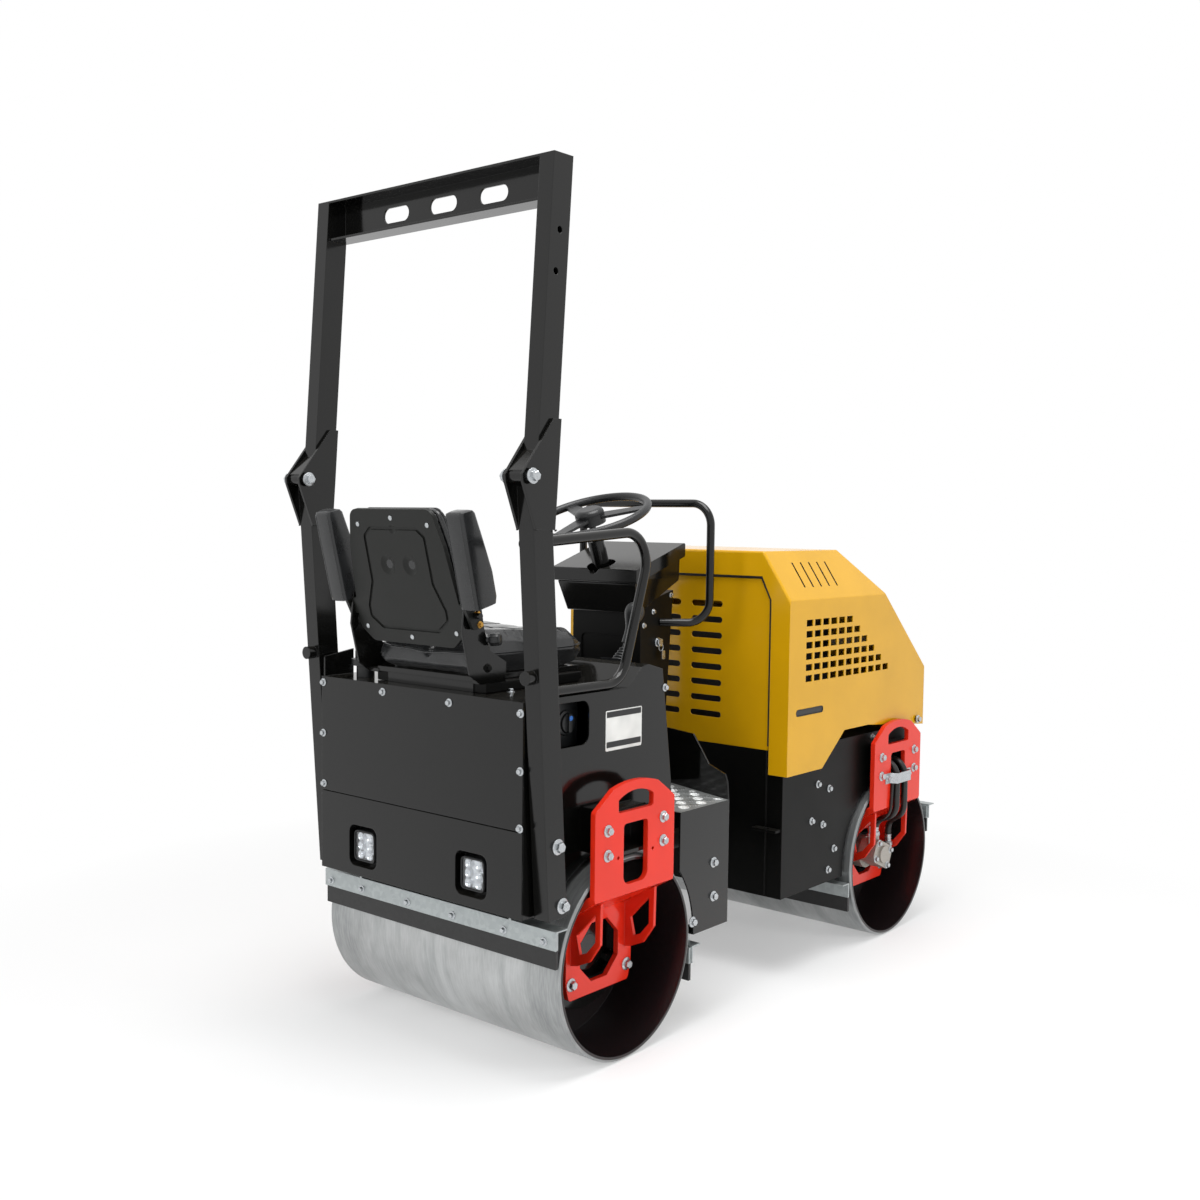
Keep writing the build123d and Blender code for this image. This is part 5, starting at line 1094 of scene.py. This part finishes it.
class RollerTrim(bpy.types.Operator):
    """Blank plate, panel seal, hood grips, painted shade in the hood's eave slots, key switch, isolator and
    welds
    """

    bl_idname = "object.roller_trim"
    bl_label = "Trim"

    def execute(self, context):
        self.plate()
        self.seal()
        self.grips()
        # Painted shade in the hood's eave slots.
        self.eave_slot_shade()
        self.switches()
        self.welds(context.scene.roller_sizes.weld)
        return {"FINISHED"}

    def plate(self):
        """Blank white plate with a dark band at its head and foot, on the tub's right side."""
        bm = bmesh.new()
        face = [at(PLATE_X + x, -TUB_SIDE, PLATE_Z + z) for x, z in rectangle(*PLATE)]
        add_slab(bm, face, 0.0014, RIGHT)
        finish_piece("blank_plate", bm, "plate", "rear_frame")
        bm = bmesh.new()
        for rise in BAND_RISES:
            band = [at(PLATE_X + x, -TUB_SIDE - 1, PLATE_Z + rise + z) for x, z in rectangle(*BAND)]
            add_slab(bm, band, 0.0008, RIGHT)
        finish_piece("blank_plate_bands", bm, "plastic", "rear_frame")

    def seal(self):
        """Rubber bead round the engine panel, which the hood closes on."""
        path = []
        for (y0, z0), (y1, z1) in zip(SEAL, SEAL[1:]):
            path += [at(SEAL_X, y0 + (y1 - y0) * t, z0 + (z1 - z0) * t) for t in (0.02, 0.5, 0.98)]
        bm = bmesh.new()
        add_tube(bm, path, 0.0052, 10)
        finish_piece("panel_seal", bm, "rubber", "front_frame")

    def grips(self):
        """Black cup in the slot on each side of the hood, to lift it by."""
        bm = bmesh.new()
        for side in (-1, 1):
            m = facing(at(GRIP_X, side * HOOD_SIDE, GRIP_Z), (0, side, 0))
            rings = []
            for half_x, half_y, out in GRIP:
                ring = rectangle(half_x / 1000, half_y / 1000, half_y * 0.00095)
                rings.append([(x, y, out / 1000) for x, y in ring])
            add_rings(bm, rings, m)
        finish_piece("hood_grips", bm, "plastic", "hood")

    def eave_slot_shade(self):
        """Painted shade: black sheets under the hood's chamfered eaves and sleeves in their slots, so that
        the slots look dark.
        """
        bm = bmesh.new()
        for side in (-1, 1):
            outward = Vector((0, side * EAVE_OUT[0], EAVE_OUT[1]))
            rear, front = SHADE_SHEET_ENDS
            places = ((SHADE_SHEET_LOW, rear), (SHADE_SHEET_HIGH, rear), (SHADE_SHEET_HIGH, front), (SHADE_SHEET_LOW, front))
            # Painted shade: a black sheet under the eave, behind its slots, and a black sleeve inside each
            # slot.
            add_slab(bm, [at(x, side * y, z) for (y, z), x in places], 0.010, -outward)
            for n in range(EAVE_SLOTS):
                place = at(EAVE_SLOT_X + EAVE_SLOT_PITCH * n, side * EAVE_MIDDLE[0], EAVE_MIDDLE[1])
                m = facing(place, outward, (1, 0, 0))
                rings = []
                for half_x, half_y, out in SLOT_SHADE_SLEEVE:
                    corners = ((-half_x, -half_y), (half_x, -half_y), (half_x, half_y), (-half_x, half_y))
                    rings.append([(x / 1000, y / 1000, out / 1000) for x, y in corners])
                add_rings(bm, rings + rings[:1], m, caps=False)
        finish_piece("hood_slot_shade", bm, "rubber", "hood")

    def switches(self):
        """Key switch with its keys on the column, and the battery isolator behind the side hatch."""
        bm = bmesh.new()
        add_lathe(bm, LOCK, facing(at(KEY_X, -COLUMN_SIDE, KEY_Z), RIGHT), 24)
        for dx, out, dz, *shape in KEYS:
            y = -COLUMN_SIDE - out
            key = [at(KEY_X + dx + x, y, KEY_Z + dz + z) for x, z in rectangle(*shape)]
            add_slab(bm, key, 0.0024, RIGHT)
        middle = at(KEY_X, -COLUMN_SIDE - 15, KEY_Z - KEY_RING_DROP)
        turns = [k * math.pi / 12 for k in range(25)]
        ring = [middle + Vector((math.sin(t), 0, math.cos(t))) * (KEY_RING / 1000) for t in turns]
        add_tube(bm, ring, 0.0012, 8)
        finish_piece("key_switch", bm, "zinc", "rear_frame", 30)
        bm = bmesh.new()
        middle_x, middle_z = ISOLATOR_PANEL
        panel = [at(middle_x + x, -ISOLATOR_SIDE, middle_z + z) for x, z in rectangle(84, 68, 12)]
        add_slab(bm, panel, 0.004, RIGHT)
        body = facing(at(ISOLATOR_X, -ISOLATOR_SIDE - 4, ISOLATOR_Z), RIGHT)
        add_lathe(bm, [(0.034, 0.0), (0.034, 0.004), (0.027, 0.006), (0.025, 0.012)], body, 32)
        y = -ISOLATOR_SIDE - 14
        handle = [at(ISOLATOR_X + x, y, ISOLATOR_Z + z) for x, z in rectangle(7, 24, 4)]
        add_slab(bm, handle, 0.009, RIGHT)
        finish_piece("battery_isolator", bm, "plastic", "rear_frame", 30)
        bm = bmesh.new()
        mark = facing(at(ISOLATOR_X, -ISOLATOR_SIDE - 23, ISOLATOR_Z + 14), RIGHT)
        add_lathe(bm, [(0.007, 0.0), (0.007, 0.0015), (0.005, 0.002)], mark, 20)
        finish_piece("isolator_mark", bm, "blue", "rear_frame")

    def welds(self, width):
        """Beads on the drums' arms, down the front frame's rear plate and on the posts."""
        for name, x, wall in (("rear", 0.0, TUB_SIDE), ("front", WHEELBASE, FRAME_SIDE)):
            bm = bmesh.new()
            for side in (-1, 1):
                for y in (side * (wall + 1), side * ARM_END):
                    for dx in (-ARM_HALF, ARM_HALF):
                        add_weld(bm, at(x + dx, y, ARM_LOW), at(x + dx, y, ARM_HIGH), width)
                    half, z = ARM_HALF - 1, ARM_HIGH + 1
                    add_weld(bm, at(x - half, y, z), at(x + half, y, z), width)
                if name == "front":
                    y = side * REAR_PLATE_Y
                    low, high = at(REAR_PLATE_X, y, REAR_PLATE_LOW), at(REAR_PLATE_X, y, REAR_PLATE_HIGH)
                    add_weld(bm, low, high, width)
            finish_piece(name + "_arm_welds", bm, "satin", name + "_frame")
        bm = bmesh.new()
        for side in (-1, 1):
            for x, top in POST_HEADS:
                for y in POST_WALLS:
                    add_weld(bm, at(x, side * y, top), at(x + 1.4, side * y, top - 2), width)
        finish_piece("post_welds", bm, "black", "rear_frame")


# Stage

STUDIO_HALF, STUDIO_DROP = 30, 0.0006
# Camera solved from the photograph: its axes, its place in millimetres and its lens.
CAMERA_RIGHT = Vector((0.64422011, -0.76474597, 0.01200218))
CAMERA_UP = Vector((0.03905917, 0.04856716, 0.99805592))
CAMERA_AHEAD = Vector((0.76384215, 0.64249889, -0.06115828))
CAMERA_PLACE = (-2769.03, -2674.43, 1468.07)
CAMERA_LENS, CAMERA_SENSOR = 39.897, 36.0


def seen_directly(tree):
    """1 for rays that come straight from the camera or by way of metal or glass."""
    camera = add_node(tree, "LightPath", {}, "Is Camera Ray")
    glossy = add_node(tree, "LightPath", {}, "Is Glossy Ray")
    through = add_node(tree, "LightPath", {}, "Is Transmission Ray")
    either = add_node(tree, "Math", {0: camera, 1: glossy}, operation="MAXIMUM")
    return add_node(tree, "Math", {0: either, 1: through}, operation="MAXIMUM")


def floor_material():
    """Pale painted studio floor."""
    # Gives the eye a soft shadow under the machine that fades to plain white further out.
    mat, tree, shader, coords = new_material("pale_studio_floor")
    set_inputs(tree, shader, {"Base Color": linear("#F6F6F6"), "Roughness": 0.9, "Specular IOR Level": 0.1})
    reach = add_node(tree, "VectorMath", {0: coords}, "Value", operation="LENGTH")
    fade = add_node(tree, "MapRange", {0: reach, 1: 1.3, 2: 2.6, 3: 0.35, 4: 1.0})
    share = add_node(tree, "Math", {0: fade, 1: seen_directly(tree)}, operation="MULTIPLY")
    white = add_node(tree, "Emission", {"Color": (1, 1, 1, 1), "Strength": 1.0})
    mixed = add_node(tree, "MixShader", {0: share, 1: shader.outputs[0], 2: white})
    set_inputs(tree, tree.nodes["Material Output"], {"Surface": mixed})
    return mat


class RollerStage(bpy.types.Operator):
    """Floor, soft lights, white surroundings and the camera"""

    bl_idname = "object.roller_stage"
    bl_label = "Stage"

    def execute(self, context):
        scene = context.scene
        scene.view_settings.view_transform = "Standard"
        bm = bmesh.new()
        corners = ((-1, -1, 0), (1, -1, 0), (1, 1, 0), (-1, 1, 0))
        bm.faces.new([bm.verts.new(Vector(corner) * STUDIO_HALF) for corner in corners])
        mesh = bpy.data.meshes.new("studio_floor")
        bm.to_mesh(mesh)
        bm.free()
        mesh.materials.append(floor_material())
        floor = bpy.data.objects.new("studio_floor", mesh)
        floor.location.z = -STUDIO_DROP
        scene.collection.objects.link(floor)
        self.lamp("top_softbox", (-0.6, -0.8, 4.6), (0, 0, 0.6), 2.6, 130)
        rear = self.lamp("rear_softbox", (-4.6, -0.6, 2.4), (-0.6, 0, 0.8), 1.8, 70)
        right = self.lamp("right_softbox", (0.4, -5.0, 2.2), (0.2, 0, 0.8), 1.8, 75)
        # Low lamps would mirror as white sheets in paint that is seen almost edge on.
        rear.visible_glossy = right.visible_glossy = False
        self.world(scene)
        self.camera(scene)
        return {"FINISHED"}

    def lamp(self, name, place, target, size, power):
        """One square softbox aimed at a point."""
        data = bpy.data.lights.new(name, "AREA")
        data.size = size
        data.energy = power
        lamp = bpy.data.objects.new(name, data)
        lamp.location = place
        lamp.rotation_euler = (Vector(target) - Vector(place)).to_track_quat("-Z", "Y").to_euler()
        bpy.context.scene.collection.objects.link(lamp)
        return lamp

    def world(self, scene):
        """White to the camera and in reflections, a gentler fill as light."""
        world = bpy.data.worlds.new("studio")
        scene.world = world
        world.use_nodes = True
        tree = world.node_tree
        fill = add_node(tree, "Background", {"Color": (1, 1, 1, 1), "Strength": 0.55})
        white = add_node(tree, "Background", {"Color": (1, 1, 1, 1), "Strength": 1.0})
        mixed = add_node(tree, "MixShader", {0: seen_directly(tree), 1: fill, 2: white})
        set_inputs(tree, tree.nodes["World Output"], {"Surface": mixed})

    def camera(self, scene):
        """Camera at the photograph's place and angle."""
        data = bpy.data.cameras.new("camera")
        data.sensor_width = CAMERA_SENSOR
        data.sensor_fit = "HORIZONTAL"
        data.lens = CAMERA_LENS
        camera = bpy.data.objects.new("camera", data)
        turn = Matrix((CAMERA_RIGHT, CAMERA_UP, -CAMERA_AHEAD)).transposed().to_4x4()
        camera.matrix_world = Matrix.Translation(at(*CAMERA_PLACE)) @ turn
        scene.collection.objects.link(camera)
        scene.camera = camera


# Add-on


class RollerPanel(bpy.types.Panel):
    """Lists the steps that dress the roller"""

    bl_idname = "VIEW3D_PT_roller"
    bl_label = "Road roller"
    bl_space_type = "VIEW_3D"
    bl_region_type = "UI"
    bl_category = "Roller"

    def draw(self, context):
        for step in STEPS:
            self.layout.operator(step.bl_idname)


STEPS = (
    RollerFinishes,
    RollerFasteners,
    RollerTread,
    RollerSeat,
    RollerLamps,
    RollerHydraulics,
    RollerTrim,
    RollerStage,
)
CLASSES = (RollerColours, RollerSizes, *STEPS, RollerPanel)


def register():
    for cls in CLASSES:
        bpy.utils.register_class(cls)
    bpy.types.Scene.roller_colours = bpy.props.PointerProperty(type=RollerColours)
    bpy.types.Scene.roller_sizes = bpy.props.PointerProperty(type=RollerSizes)


def unregister():
    del bpy.types.Scene.roller_sizes
    del bpy.types.Scene.roller_colours
    for cls in reversed(CLASSES):
        bpy.utils.unregister_class(cls)


def main():
    register()
    bpy.ops.object.roller_finishes()
    bpy.ops.object.roller_fasteners()
    bpy.ops.object.roller_tread()
    bpy.ops.object.roller_seat()
    bpy.ops.object.roller_lamps()
    bpy.ops.object.roller_hydraulics()
    bpy.ops.object.roller_trim()
    bpy.ops.object.roller_stage()


if __name__ == "__main__":
    main()
